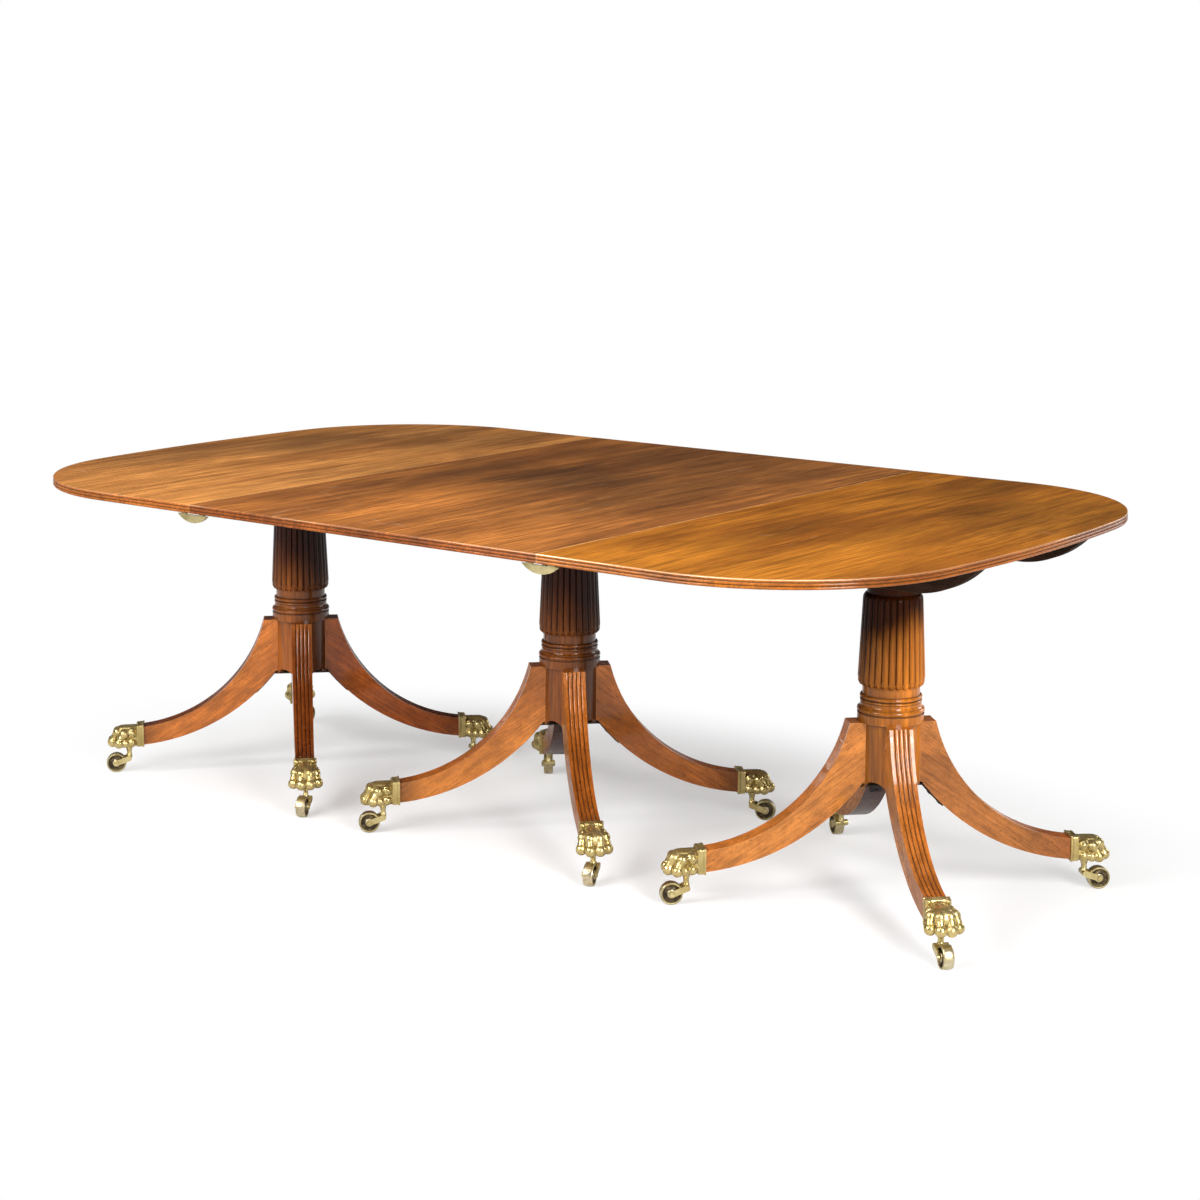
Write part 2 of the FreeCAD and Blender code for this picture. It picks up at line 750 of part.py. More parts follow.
def strap():
    """Iron cross strap under the drum whose arms follow the legs' undersides."""
    body = new_body("iron_strap")
    centre = leg_curves()[3]
    inner_curve = size["leg_under_curve"] + size["wood_fit"]
    outer_curve = inner_curve + size["strap_thickness"]
    top = size["base_height"]
    foot = top - size["strap_thickness"]
    meet_top = centre[0] - root(inner_curve * inner_curve - (centre[1] - top) * (centre[1] - top))
    meet_foot = centre[0] - root(outer_curve * outer_curve - (centre[1] - foot) * (centre[1] - foot))
    across = centre[0] - size["strap_reach"]
    drop = root(inner_curve * inner_curve - across * across)
    growth = outer_curve / inner_curve
    side = new_sketch(body, "side", "XZ_Plane")
    corners = [
        (0, top),
        (0, foot),
        (meet_foot, foot, outer_curve, OUTWARD),
        (centre[0] - across * growth, centre[1] - drop * growth),
        (size["strap_reach"], centre[1] - drop, inner_curve, INWARD),
        (meet_top, top),
    ]
    draw(side, corners)
    arm = pad(body, "arm", side, size["strap_width"], symmetric=True)
    polar_pattern(body, "arms", arm, len(LEG_TURNS))
    return body


def instep_section(body, name, x, half, top):
    """Section of the instep: flat below, upright sides and a crowned back."""
    section = new_sketch(body, name, "YZ_Plane", x)
    spring = top - size["instep_crown"]
    crown = sagitta_radius(2 * half, size["instep_crown"])
    base = size["paw_base_height"]
    draw(section, [(-half, base), (half, base), (half, spring, crown, OUTWARD), (-half, spring)])
    return section


def toe(body, name, ball_x, place):
    """Clawless toe across the paw at place: a ball, a waist and the knuckle above and behind it."""
    ball = size["toe_ball_radius"]
    knuckle = size["toe_knuckle_radius"]
    waist = size["toe_waist_radius"]
    back = size["toe_knuckle_setback"]
    rise = size["toe_knuckle_rise"]
    length = root(back * back + rise * rise)
    knuckle_x = ball_x - back
    knuckle_z = size["paw_base_height"] + ball + rise

    def spot(along, out):
        x = knuckle_x + (along * back + out * rise) / length
        z = knuckle_z + (out * back - along * rise) / length
        return x, z

    outline = new_sketch(body, f"{name}_outline", "XZ_Plane", place)
    draw_axis(outline, spot(-knuckle, as_size(0)), spot(length + ball, as_size(0)))
    corners = [
        (*spot(-knuckle, as_size(0)), knuckle, INWARD),
        spot(root(knuckle * knuckle - waist * waist), waist),
        (*spot(length - root(ball * ball - waist * waist), waist), ball, INWARD),
        spot(length + ball, as_size(0)),
    ]
    draw(outline, corners)
    revolve(body, "Revolution", name, outline, "Axis0")


def paw_cap():
    """Cast lion paw on the leg's foot: a rimmed socket, a crowned instep and four toes."""
    body = new_body("lion_paw_cap")
    back = size["leg_foot_reach"]
    half = size["leg_foot_width"] / 2 + size["cap_wall"]
    bottom = size["leg_foot_bottom"] - size["cap_wall"]
    top = size["leg_foot_top"] + size["cap_wall"]
    collar = new_sketch(body, "collar_section", "YZ_Plane", back)
    draw_box(collar, -half, bottom, half, top)
    pad(body, "collar", collar, size["collar_length"])
    rim = new_sketch(body, "rim_section", "YZ_Plane", back)
    proud = size["cap_rim"]
    draw_box(rim, -half - proud, bottom - proud, half + proud, top + proud)
    pad(body, "rim", rim, size["cap_rim_length"])
    ball = size["toe_ball_radius"]
    ball_x = back + size["paw_length"] - ball
    knuckle_x = ball_x - size["toe_knuckle_setback"]
    knuckle_top = size["paw_base_height"] + ball + size["toe_knuckle_rise"] + size["toe_knuckle_radius"]
    outer_place = size["paw_width"] / 2 - ball
    instep = body.newObject("PartDesign::AdditiveLoft", "instep")
    instep.Profile = instep_section(body, "instep_rear", back + size["cap_rim_length"], half, top)
    instep.Sections = [instep_section(body, "instep_front", knuckle_x, outer_place, knuckle_top)]
    toe(body, "outer_toe_left", ball_x - size["outer_toe_setback"], outer_place)
    toe(body, "inner_toe_left", ball_x, outer_place / 3)
    toe(body, "inner_toe_right", ball_x, -outer_place / 3)
    toe(body, "outer_toe_right", ball_x - size["outer_toe_setback"], -outer_place)
    mouth = new_sketch(body, "leg_mouth", "YZ_Plane", back)
    draw_box(mouth, *spigot_section(size["wood_fit"]))
    pocket(body, "mouth_cut", mouth, size["spigot_length"] + size["wood_fit"], backward=True)
    bore = new_sketch(body, "spindle_bore", "XY_Plane", size["paw_base_height"])
    bore_x = back + size["castor_setout"]
    draw_circle(bore, bore_x, 0, size["spindle_radius"] + size["running_clearance"])
    pocket(body, "bore_cut", bore, size["spindle_length"], backward=True)
    return body


def castor_fork():
    """Castor horn: spindle, hollowed neck and two slender arms that trail down to the axle."""
    body = new_body("fork_casting")
    axle = size["wheel_radius"]
    trail = size["castor_trail"]
    eye = size["fork_eye_radius"]
    along = cosine(size["fork_arm_slope"])
    rise = sine(size["fork_arm_slope"])
    elbow = axle + trail * rise / along
    shoulder = size["paw_base_height"] - size["swivel_gap"]
    spindle_top = shoulder + size["spindle_length"]
    side = new_sketch(body, "arm_side", "XZ_Plane")
    corners = [
        (-eye * rise, elbow - eye * along),
        (trail - eye * rise, axle - eye * along, eye, OUTWARD),
        (trail + eye * along, axle - eye * rise, eye, OUTWARD),
        (trail + eye * rise, axle + eye * along),
        (eye * rise, elbow + eye * along, eye, OUTWARD),
        (-eye * along, elbow + eye * rise, eye, OUTWARD),
    ]
    draw(side, corners)
    pad(body, "arms", side, fork_width, symmetric=True)
    slot = new_sketch(body, "wheel_slot", "XZ_Plane")
    draw_box(slot, size["fork_bar_front"], 0, trail + 2 * eye, elbow + 2 * eye)
    pocket(body, "slot_cut", slot, size["wheel_width"] + 2 * size["wheel_side_gap"], symmetric=True)
    stem = new_sketch(body, "stem_outline", "XZ_Plane")
    corners = [
        (0, elbow),
        (size["neck_foot_radius"], elbow),
        (size["neck_foot_radius"], elbow + eye, size["neck_curve"], INWARD),
        (size["neck_collar_radius"], shoulder - size["neck_collar_height"]),
        (size["neck_collar_radius"], shoulder),
        (size["spindle_radius"], shoulder),
        (size["spindle_radius"], spindle_top),
        (0, spindle_top),
    ]
    draw(stem, corners)
    revolve(body, "Revolution", "stem", stem, "V_Axis")
    eyes = new_sketch(body, "axle_eyes", "XZ_Plane")
    draw_circle(eyes, trail, axle, size["axle_radius"] + size["running_clearance"])
    pocket(body, "eye_cut", eyes, symmetric=True)
    return body


def castor_axle():
    """Riveted axle through the fork's arms."""
    body = new_body("fork_axle")
    sketch = new_sketch(body, "axle_outline", "XY_Plane", size["wheel_radius"])
    trail = size["castor_trail"]
    seat = fork_width / 2 + size["running_clearance"]
    tip = seat + size["rivet_height"]
    corners = [
        (trail, -tip),
        (trail + size["rivet_radius"], -tip),
        (trail + size["rivet_radius"], -seat),
        (trail + size["axle_radius"], -seat),
        (trail + size["axle_radius"], seat),
        (trail + size["rivet_radius"], seat),
        (trail + size["rivet_radius"], tip),
        (trail, tip),
    ]
    draw_axis(sketch, (trail, -tip), (trail, tip))
    draw(sketch, corners)
    revolve(body, "Revolution", "axle", sketch, "Axis0")
    return body


def castor_wheel():
    """Brass wheel with a softly crowned tread and dished sides."""
    body = new_body("castor_wheel")
    sketch = new_sketch(body, "wheel_outline", "XY_Plane")
    bore = size["axle_radius"] + size["running_clearance"]
    half = size["wheel_width"] / 2
    dish = half - size["wheel_dish_depth"]
    shoulder = size["wheel_radius"] - size["wheel_crown"]
    rim = size["wheel_radius"] - size["wheel_rim"]
    hub = size["wheel_hub_radius"]
    tread = sagitta_radius(size["wheel_width"], size["wheel_crown"])
    corners = [
        (bore, -half),
        (hub, -half),
        (hub, -dish),
        (rim, -dish),
        (rim, -half),
        (shoulder, -half, tread, OUTWARD),
        (shoulder, half),
        (rim, half),
        (rim, dish),
        (hub, dish),
        (hub, half),
        (bore, half),
    ]
    draw(sketch, corners)
    revolve(body, "Revolution", "wheel", sketch, "V_Axis")
    return body


def seam_clip():
    """Half-moon brass clip with two tongues that hold the boards together across a seam."""
    body = new_body("half_moon_clip")
    sketch = new_sketch(body, "face", "XZ_Plane")
    half = size["clip_chord"] / 2
    inner = size["clip_tongue_inner"]
    outer = inner + size["clip_tongue_width"]
    tip_inner = inner + size["clip_tongue_taper"]
    shoulder = -size["clip_shoulder_gap"]
    tip = size["clip_tongue_height"]
    moon = sagitta_radius(size["clip_chord"], size["clip_drop"])
    corners = [
        (-half, shoulder, moon, OUTWARD),
        (half, shoulder),
        (outer, shoulder),
        (outer, tip),
        (tip_inner, tip),
        (inner, shoulder),
        (-inner, shoulder),
        (-tip_inner, tip),
        (-outer, tip),
        (-outer, shoulder),
    ]
    draw(sketch, corners)
    pad(body, "clip", sketch, size["clip_thickness"], symmetric=True)
    return body


def catch_case():
    """Brass case of a tilt catch under the board, beside the block's square end."""
    body = new_body("catch_case_casting")
    front = -size["block_length"] / 2 - size["catch_gap"]
    back = front - size["catch_length"]
    half = size["catch_width"] / 2
    plan = new_sketch(body, "plan", "XY_Plane")
    draw_box(plan, back, -half, front, half)
    pad(body, "case", plan, size["catch_depth"], backward=True)
    way = new_sketch(body, "bolt_way", "YZ_Plane", back)
    way_half = size["bolt_width"] / 2 + size["bolt_clearance"]
    rise = size["bolt_height"] / 2 + size["bolt_clearance"]
    draw_box(way, -way_half, -bolt_drop - rise, way_half, rise - bolt_drop)
    pocket(body, "way_cut", way, size["catch_length"], backward=True)
    slot = new_sketch(body, "knob_slot", "XY_Plane", -bolt_drop)
    stem = size["bolt_stem_radius"] + size["bolt_clearance"]
    middle = (front + back) / 2
    run = size["bolt_travel"] / 2 + stem
    draw_box(slot, middle - run, -stem, middle + run, stem)
    pocket(body, "slot_cut", slot, size["catch_depth"])
    return body


def catch_bolt():
    """Sliding bolt of a tilt catch, drawn back at rest, with a knob below the case."""
    body = new_body("catch_bolt_casting")
    front = -size["block_length"] / 2 - size["catch_gap"]
    back = front - size["catch_length"]
    tip = front - size["bolt_clearance"]
    section = new_sketch(body, "bar_section", "YZ_Plane", back)
    half = size["bolt_width"] / 2
    rise = size["bolt_height"] / 2
    draw_box(section, -half, -bolt_drop - rise, half, rise - bolt_drop)
    pad(body, "bar", section, tip - back)
    stem_place = (front + back) / 2 - size["bolt_travel"] / 2
    stem = new_sketch(body, "stem_plan", "XY_Plane", -bolt_drop)
    draw_circle(stem, stem_place, 0, size["bolt_stem_radius"])
    knob_top = size["catch_depth"] + size["bolt_clearance"]
    pad(body, "stem", stem, knob_top + size["bolt_knob_height"] / 2 - bolt_drop, backward=True)
    knob = new_sketch(body, "knob_plan", "XY_Plane", -knob_top)
    draw_circle(knob, stem_place, 0, size["bolt_knob_radius"])
    pad(body, "knob", knob, size["bolt_knob_height"], backward=True)
    return body


nodes = {}


def add_node(label, master, x=0, y=0, z=0, turn=0):
    """Place one copy of a piece, turned about Z, as a sub-part of its own."""
    node = doc.addObject("App::Link", label)
    node.LinkedObject = master
    node.Label = label
    node.Placement = FreeCAD.Placement(
        FreeCAD.Vector(), FreeCAD.Rotation(FreeCAD.Vector(0, 0, 1), turn)
    )
    for axis, place in zip("xyz", (x, y, z)):
        node.setExpression(f"Placement.Base.{axis}", as_size(place).text)
    nodes[label] = node
    return node


def add_ring(label, master, x):
    """Place four copies of a leg piece round a column as one sub-part of separate solids."""
    node = add_node(label, master, x)
    node.ShowElement = False
    node.ElementCount = len(LEG_TURNS)
    node.PlacementList = [
        FreeCAD.Placement(FreeCAD.Vector(), FreeCAD.Rotation(FreeCAD.Vector(0, 0, 1), turn))
        for turn in LEG_TURNS.values()
    ]


def castor_place(side, leg_turn):
    """Floor point under a castor's swivel."""
    reach = size["leg_foot_reach"] + size["castor_setout"]
    x = size["pedestal_spacing"] * SECTIONS[side] + reach * math.cos(math.radians(leg_turn))
    return x, reach * math.sin(math.radians(leg_turn))


def castor_facing(side, corner):
    """Direction in degrees that a castor trails at rest."""
    return LEG_TURNS[corner] + CASTOR_TURNS[side][corner]


def build_boards():
    middle_board = centre_top()
    end_board = end_top()
    middle_bearers = bearers("centre_bearer_pair", size["centre_bearer_length"])
    end_bearers = bearers("end_bearer_pair", size["end_bearer_length"])
    middle_places = socket_places((seam - tongue_centre, tongue_centre - seam))
    middle_sockets = sockets("centre_socket_plates", middle_places)
    end_sockets = sockets("end_socket_plates", socket_places((seam + tongue_centre,)))
    block = pivot_block()
    case = catch_case()
    bolt = catch_bolt()
    for side, sign in SECTIONS.items():
        turn = 180 if sign < 0 else 0
        x = size["pedestal_spacing"] * sign
        add_node(f"{side}_top", end_board if sign else middle_board, z=underside, turn=turn)
        add_node(f"{side}_clip_sockets", end_sockets if sign else middle_sockets, z=underside, turn=turn)
        add_node(f"{side}_bearers", end_bearers if sign else middle_bearers, x, z=underside, turn=turn)
        add_node(f"{side}_block", block, x, z=underside, turn=turn)
        add_node(f"{side}_catch_case", case, x, z=underside, turn=turn)
        add_node(f"{side}_catch_bolt", bolt, x, z=underside, turn=turn)
    clip = seam_clip()
    for side, sign in (("left", -1), ("right", 1)):
        add_node(f"{side}_front_clip", clip, seam * sign, -clip_place, underside)
        add_node(f"{side}_rear_clip", clip, seam * sign, clip_place, underside)


def build_pedestals():
    turned = column()
    sabre = leg()
    cross = strap()
    paw = paw_cap()
    fork = doc.addObject("Part::Compound", "castor_fork")
    fork.Links = [castor_fork(), castor_axle()]
    wheel = castor_wheel()
    for side, sign in SECTIONS.items():
        x = size["pedestal_spacing"] * sign
        add_node(f"{side}_column", turned, x)
        add_node(f"{side}_strap", cross, x, turn=LEG_TURNS["rear_right"])
        add_ring(f"{side}_legs", sabre, x)
        add_ring(f"{side}_paw_caps", paw, x)
        for corner, leg_turn in LEG_TURNS.items():
            facing = castor_facing(side, corner)
            pivot_x, pivot_y = castor_place(side, leg_turn)
            wheel_x = pivot_x + size["castor_trail"] * math.cos(math.radians(facing))
            wheel_y = pivot_y + size["castor_trail"] * math.sin(math.radians(facing))
            add_node(f"{side}_{corner}_fork", fork, pivot_x, pivot_y, turn=facing)
            add_node(f"{side}_{corner}_wheel", wheel, wheel_x, wheel_y, size["wheel_radius"], facing)


def check_document():
    for item in doc.Objects:
        if "Invalid" in item.State or "Error" in item.State:
            raise ValueError(f"{item.Label} did not build")
    for label, node in nodes.items():
        shape = Part.getShape(node)
        if shape.isNull() or not shape.isValid() or not shape.Solids:
            raise ValueError(f"{label} has no valid shape")


def write_steps():
    os.makedirs("parts", exist_ok=True)
    for label, node in nodes.items():
        Part.getShape(node).exportStep(f"parts/{label}.step")


build_boards()
build_pedestals()
doc.recompute()
check_document()
write_steps()
print(f"{len(nodes)} sub-parts written")
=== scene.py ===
import json
import math

import bmesh
import bpy
import numpy as np
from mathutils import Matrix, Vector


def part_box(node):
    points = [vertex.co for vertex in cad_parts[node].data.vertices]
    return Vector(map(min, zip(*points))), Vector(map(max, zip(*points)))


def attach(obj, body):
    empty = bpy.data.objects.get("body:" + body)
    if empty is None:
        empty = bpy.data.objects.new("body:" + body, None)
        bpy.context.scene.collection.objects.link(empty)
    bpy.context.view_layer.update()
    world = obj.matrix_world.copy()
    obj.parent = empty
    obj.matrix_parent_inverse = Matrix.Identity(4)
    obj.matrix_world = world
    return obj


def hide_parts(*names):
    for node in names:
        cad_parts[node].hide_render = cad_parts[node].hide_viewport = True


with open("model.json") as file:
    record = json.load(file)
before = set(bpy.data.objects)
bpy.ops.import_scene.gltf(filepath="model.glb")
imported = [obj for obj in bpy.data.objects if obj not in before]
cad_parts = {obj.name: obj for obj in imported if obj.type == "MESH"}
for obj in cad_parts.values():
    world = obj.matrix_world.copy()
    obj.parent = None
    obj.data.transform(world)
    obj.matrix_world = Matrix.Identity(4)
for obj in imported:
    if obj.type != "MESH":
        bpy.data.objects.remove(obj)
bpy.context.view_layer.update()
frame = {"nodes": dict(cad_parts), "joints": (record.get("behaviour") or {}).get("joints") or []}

import openvdb
from mathutils import Matrix, Vector

# Triple pedestal dining table: polished mahogany boards, reeded columns and legs, brass paws and castors.
# Metres, X along the table, Y across it with the near edge at -Y, Z up from the floor.

sides = {"left": -0.78, "centre": 0.0, "right": 0.78}  # pedestal axis along X
corners = {"rear_right": 45, "rear_left": 135, "front_left": 225, "front_right": 315}  # the way each leg points
print("frame loaded,", len(frame["nodes"]), "nodes")


def wayOf(degrees):  # a step of one at this angle
    return math.cos(math.radians(degrees)), math.sin(math.radians(degrees))


def standObject(name, data):
    piece = bpy.data.objects.new(name, data)
    bpy.context.scene.collection.objects.link(piece)
    return piece


# small helpers for node trees

def feed(tree, socket, value):  # a socket is linked, anything else becomes its plain value
    if isinstance(value, bpy.types.NodeSocket):
        tree.links.new(value, socket)
    elif socket.type == "RGBA" and len(value) == 3:  # colours are written without their alpha
        socket.default_value = (*value, 1)
    else:
        socket.default_value = value


def addNode(tree, kind, inputs=None, **settings):  # settings come first, since they choose the sockets
    node = tree.nodes.new(kind)
    for name, value in settings.items():
        setattr(node, name, value)
    for name, value in (inputs or {}).items():
        feed(tree, node.inputs[name], value)
    return node


def mathOf(tree, operation, *values, clamp=False):
    inputs = dict(enumerate(values))
    return addNode(tree, "ShaderNodeMath", inputs, operation=operation, use_clamp=clamp).outputs[0]


def operationOf(name):
    return lambda tree, *values: mathOf(tree, name, *values)


plus, minus, times, sizeOf = map(operationOf, ("ADD", "SUBTRACT", "MULTIPLY", "ABSOLUTE"))


def largestOf(tree, largest, *others):
    for other in others:
        largest = mathOf(tree, "MAXIMUM", largest, other)
    return largest


def addShares(tree, value, *shares):  # a share is a mask and how much of it is added
    for mask, amount in shares:
        value = plus(tree, value, times(tree, mask, amount))
    return value


def vectorOf(tree, operation, *values):
    node = addNode(tree, "ShaderNodeVectorMath", dict(enumerate(values)), operation=operation)
    return node.outputs["Value" if operation in ("DOT_PRODUCT", "LENGTH") else "Vector"]


def axesOf(tree, vector):
    return addNode(tree, "ShaderNodeSeparateXYZ", {0: vector}).outputs


def vectorFrom(tree, x, y, z):
    return addNode(tree, "ShaderNodeCombineXYZ", {"X": x, "Y": y, "Z": z}).outputs[0]


def blendOf(tree, factor, first, second, mode="MIX"):
    inputs = {"Factor": factor, 6: first, 7: second}  # sockets 6 and 7 are its colours
    return addNode(tree, "ShaderNodeMix", inputs, data_type="RGBA", blend_type=mode, clamp_factor=True).outputs[2]


def tintOf(tree, shown, tint, factor=1.0):
    return blendOf(tree, factor, shown, tint, "MULTIPLY")


def layOver(tree, shown, mask, layer):  # a layer is how much of its mask shows, and its colour
    return blendOf(tree, times(tree, mask, layer[0]), shown, layer[1])


def rangeOf(tree, value, low, high, newLow=0.0, newHigh=1.0):
    inputs = {"Value": value, "From Min": low, "From Max": high, "To Min": newLow, "To Max": newHigh}
    return addNode(tree, "ShaderNodeMapRange", inputs, interpolation_type="SMOOTHSTEP").outputs["Result"]


def fallOf(tree, value, low, high):
    return rangeOf(tree, value, low, high, 1.0, 0.0)


def stretchOf(tree, vector, scale=(1, 1, 1), turn=(0, 0, 0), shift=(0, 0, 0)):
    turn = [math.radians(angle) for angle in turn]
    inputs = {"Vector": vector, "Scale": scale, "Rotation": turn, "Location": shift}
    return addNode(tree, "ShaderNodeMapping", inputs).outputs["Vector"]


def noiseOf(tree, vector, scale=1.0, detail=2.0, roughness=0.5, seed=0.0):
    inputs = {"Vector": vector, "W": seed, "Scale": scale, "Detail": detail, "Roughness": roughness}
    return addNode(tree, "ShaderNodeTexNoise", inputs, noise_dimensions="4D").outputs


def figureOf(tree, vector, seed, stretch, detail, roughness):  # noise drawn out along a grain
    return noiseOf(tree, stretchOf(tree, vector, stretch), 1.0, detail, roughness, seed)["Fac"]


def driftOf(tree, vector, seed, reach, stretch, detail, roughness):  # the vector pushed about by noise
    push = noiseOf(tree, stretchOf(tree, vector, stretch), 1.0, detail, roughness, seed)["Color"]
    push = vectorOf(tree, "SUBTRACT", push, (0.5, 0.5, 0.5))
    return vectorOf(tree, "ADD", vector, vectorOf(tree, "MULTIPLY", push, reach))


def newGroup(name, inputs, outputs, kind="ShaderNodeTree"):
    group = bpy.data.node_groups.new(name, kind)
    for way, sockets in (("INPUT", inputs), ("OUTPUT", outputs)):
        for label, socket in sockets.items():
            group.interface.new_socket(label, in_out=way, socket_type="NodeSocket" + socket)
    return group, group.nodes.new("NodeGroupInput").outputs, group.nodes.new("NodeGroupOutput").inputs


def placeGroup(tree, group, **values):
    return addNode(tree, "ShaderNodeGroup", values, node_tree=group).outputs


# mahogany figure: the grain runs along the vector's Y

woodFigure = {
    "swayReach": (0.07, 0.3, 0.07), "sway": ((2.6, 0.9, 2.6), 2.0, 0.5),
    # each layer's stretch, detail and roughness, then the part of its noise that shows and what that becomes
    "layers": {
        "bands": ((10, 1.7, 10), 4.0, 0.6, (0.37, 0.63)),
        "streaks": ((46, 2.3, 46), 5.0, 0.66, (0.45, 0.68)),
        "ripple": ((9, 6, 9), 3.0, 0.6, (0.3, 0.7, 0.9, 1.08)),
        "patches": ((7, 3, 7), 3.0, 0.6, (0.36, 0.62, 0.3, 1.25)),
        "lines": ((170, 6, 170), 3.0, 0.6, (0.36, 0.62, 1.42, 0.58)),
        "fibres": ((380, 7, 380), 3.0, 0.6, (0.3, 0.7, 0.74, 1.22)),
        "smoke": ((6.5, 1.5, 6.5), 4.0, 0.6, (0.47, 0.66)),
        "pores": ((900, 34, 900), 1.0, 0.5, (0.6, 0.72)),
    },
    "veilDark": 0.75, "poreDark": 0.6, "fibreLift": 0.35, "veilDull": 0.5, "poreDull": 0.4,
}


def makeMahoganyFigure():
    group, given, made = newGroup(
        "mahoganyFigure",
        {"Vector": "Vector", "Seed": "Float", "Dark": "Color", "Mid": "Color", "Light": "Color",
         "Streaks": "Float", "Smoke": "Float", "Pores": "Float"},
        {"Color": "Color", "Height": "Float", "Dullness": "Float"})
    look, seed, dark = woodFigure, given["Seed"], given["Dark"]
    grain = driftOf(group, given["Vector"], seed, look["swayReach"], *look["sway"])
    noise, layer = {}, {}
    for name, (stretch, detail, roughness, span) in look["layers"].items():
        noise[name] = figureOf(group, grain, seed, stretch, detail, roughness)
        layer[name] = rangeOf(group, noise[name], *span)
    body = blendOf(group, layer["bands"], given["Mid"], given["Light"])
    body = blendOf(group, times(group, layer["streaks"], given["Streaks"]), body, dark)
    body = tintOf(group, body, layer["ripple"])
    body = tintOf(group, body, layer["lines"], times(group, given["Streaks"], layer["patches"]))
    body = tintOf(group, body, layer["fibres"])
    veil = times(group, layer["smoke"], given["Smoke"])
    hollow = times(group, layer["pores"], given["Pores"])
    body = layOver(group, body, veil, (look["veilDark"], dark))
    body = layOver(group, body, hollow, (look["poreDark"], dark))
    lift = minus(group, times(group, noise["fibres"], look["fibreLift"]), hollow)
    dull = addShares(group, times(group, veil, look["veilDull"]), (hollow, look["poreDull"]))
    feed(group, made["Color"], body)
    feed(group, made["Height"], lift)
    feed(group, made["Dullness"], dull)
    return group


# marks of use: hairline scratches, small dents and hazy patches

useMarks = {
    "scratchWays": ((24, (5, 240, 240)), (-38, (7, 330, 330)), (81, (6, 280, 280))),  # turn and stretch
    "scratchNoise": (1.0, 0.4), "scratchSpan": (0.735, 0.76),
    # scale, detail and roughness of the noise that picks the places, and the part of it that shows
    "scratched": ((5.0, 2.0, 0.5), (0.5, 0.62)), "dented": ((17.0, 2.0, 0.5), (0.5, 0.58)),
    "hazed": ((7.0, 5.0, 0.65), (0.4, 0.7)), "dentScale": 46, "dentSpan": (0.1, 0.16),
}


def makeMarksOfUse():
    group, given, made = newGroup(
        "marksOfUse",
        {"Vector": "Vector", "Seed": "Float", "Amount": "Float"},
        {"Scratches": "Float", "Dents": "Float", "Haze": "Float"})
    look = useMarks
    place, seed, amount = given["Vector"], given["Seed"], given["Amount"]
    scratched, dented, hazed = (
        rangeOf(group, noiseOf(group, place, *shape, seed)["Fac"], *span)
        for shape, span in (look["scratched"], look["dented"], look["hazed"]))
    lines = []
    for turn, stretch in look["scratchWays"]:
        turned = stretchOf(group, place, turn=(0, 0, turn))
        wave = figureOf(group, turned, seed, stretch, *look["scratchNoise"])
        lines.append(rangeOf(group, wave, *look["scratchSpan"]))
    scratches = times(group, largestOf(group, *lines), scratched)
    cells = {"Vector": place, "W": seed, "Scale": look["dentScale"]}
    cells = addNode(group, "ShaderNodeTexVoronoi", cells, feature="F1", voronoi_dimensions="4D").outputs
    dents = times(group, fallOf(group, cells["Distance"], *look["dentSpan"]), dented)
    feed(group, made["Scratches"], times(group, scratches, amount))
    feed(group, made["Dents"], times(group, dents, amount))
    feed(group, made["Haze"], hazed)
    return group


# grime and painted shade that stay in hollows, and the paler rub on edges

hollowEdgeSpans = {"grimeAndShade": (0.45, 0.95), "rub": (0.75, 0.98), "hollowSamples": 6, "edgeSamples": 4}


def makeHollowsAndEdges():
    group, given, made = newGroup(
        "hollowsAndEdges", {"Reach": "Float", "Edge": "Float"}, {"GrimeAndShade": "Float", "Rub": "Float"})
    shade = addNode(group, "ShaderNodeAmbientOcclusion", {"Distance": given["Reach"]},
                    samples=hollowEdgeSpans["hollowSamples"], only_local=True)
    rounded = addNode(group, "ShaderNodeBevel", {"Radius": given["Edge"]}, samples=hollowEdgeSpans["edgeSamples"])
    flat = addNode(group, "ShaderNodeNewGeometry").outputs["Normal"]
    turn = vectorOf(group, "DOT_PRODUCT", rounded.outputs["Normal"], flat)
    # the hollows' mask is grime and painted shade, darkest where ambient occlusion is strongest
    feed(group, made["GrimeAndShade"], fallOf(group, shade.outputs["AO"], *hollowEdgeSpans["grimeAndShade"]))
    feed(group, made["Rub"], fallOf(group, turn, *hollowEdgeSpans["rub"]))
    return group


mahoganyFigure = makeMahoganyFigure()
marksOfUse = makeMarksOfUse()
hollowsAndEdges = makeHollowsAndEdges()
print("shared effects made")


def newMaterial(name):
    material = bpy.data.materials.new(name)
    material.use_nodes = True
    tree = material.node_tree
    return material, tree, addNode(tree, "ShaderNodeTexCoord").outputs["Object"]


def hollowsAndEdgesOf(tree, look):
    return placeGroup(tree, hollowsAndEdges, Reach=look["hollows"], Edge=look["edges"])


def roughOf(tree, look, marks, *shares):
    return addShares(tree, look["roughness"], (marks["Haze"], look["hazeDull"]), *shares)


def effectsOf(tree, look, seed, grain, place):
    wood = placeGroup(tree, mahoganyFigure, Vector=grain, Seed=seed, Dark=look["dark"], Mid=look["mid"],
                      Light=look["light"], Streaks=look["streaks"], Smoke=look["smoke"], Pores=look["pores"])
    marks = placeGroup(tree, marksOfUse, Vector=place, Seed=seed, Amount=look["wear"])
    height = minus(tree, wood["Height"], times(tree, marks["Dents"], look["dentDepth"]))
    return wood, marks, hollowsAndEdgesOf(tree, look), height


# darkens the hollows with grime and painted shade, then the dents
def soilAndShadeOf(tree, look, shown, marks, worn):
    shown = layOver(tree, shown, worn["GrimeAndShade"], look["grimeAndShade"])
    return layOver(tree, shown, marks["Dents"], look["dents"])


def facingOf(tree):  # how far a face looks up, which turns with its piece
    return axesOf(tree, addNode(tree, "ShaderNodeTexCoord").outputs["Normal"])["Z"]


plainValues = {"metal": "Metallic", "specular": "Specular IOR Level", "coatRoughness": "Coat Roughness"}


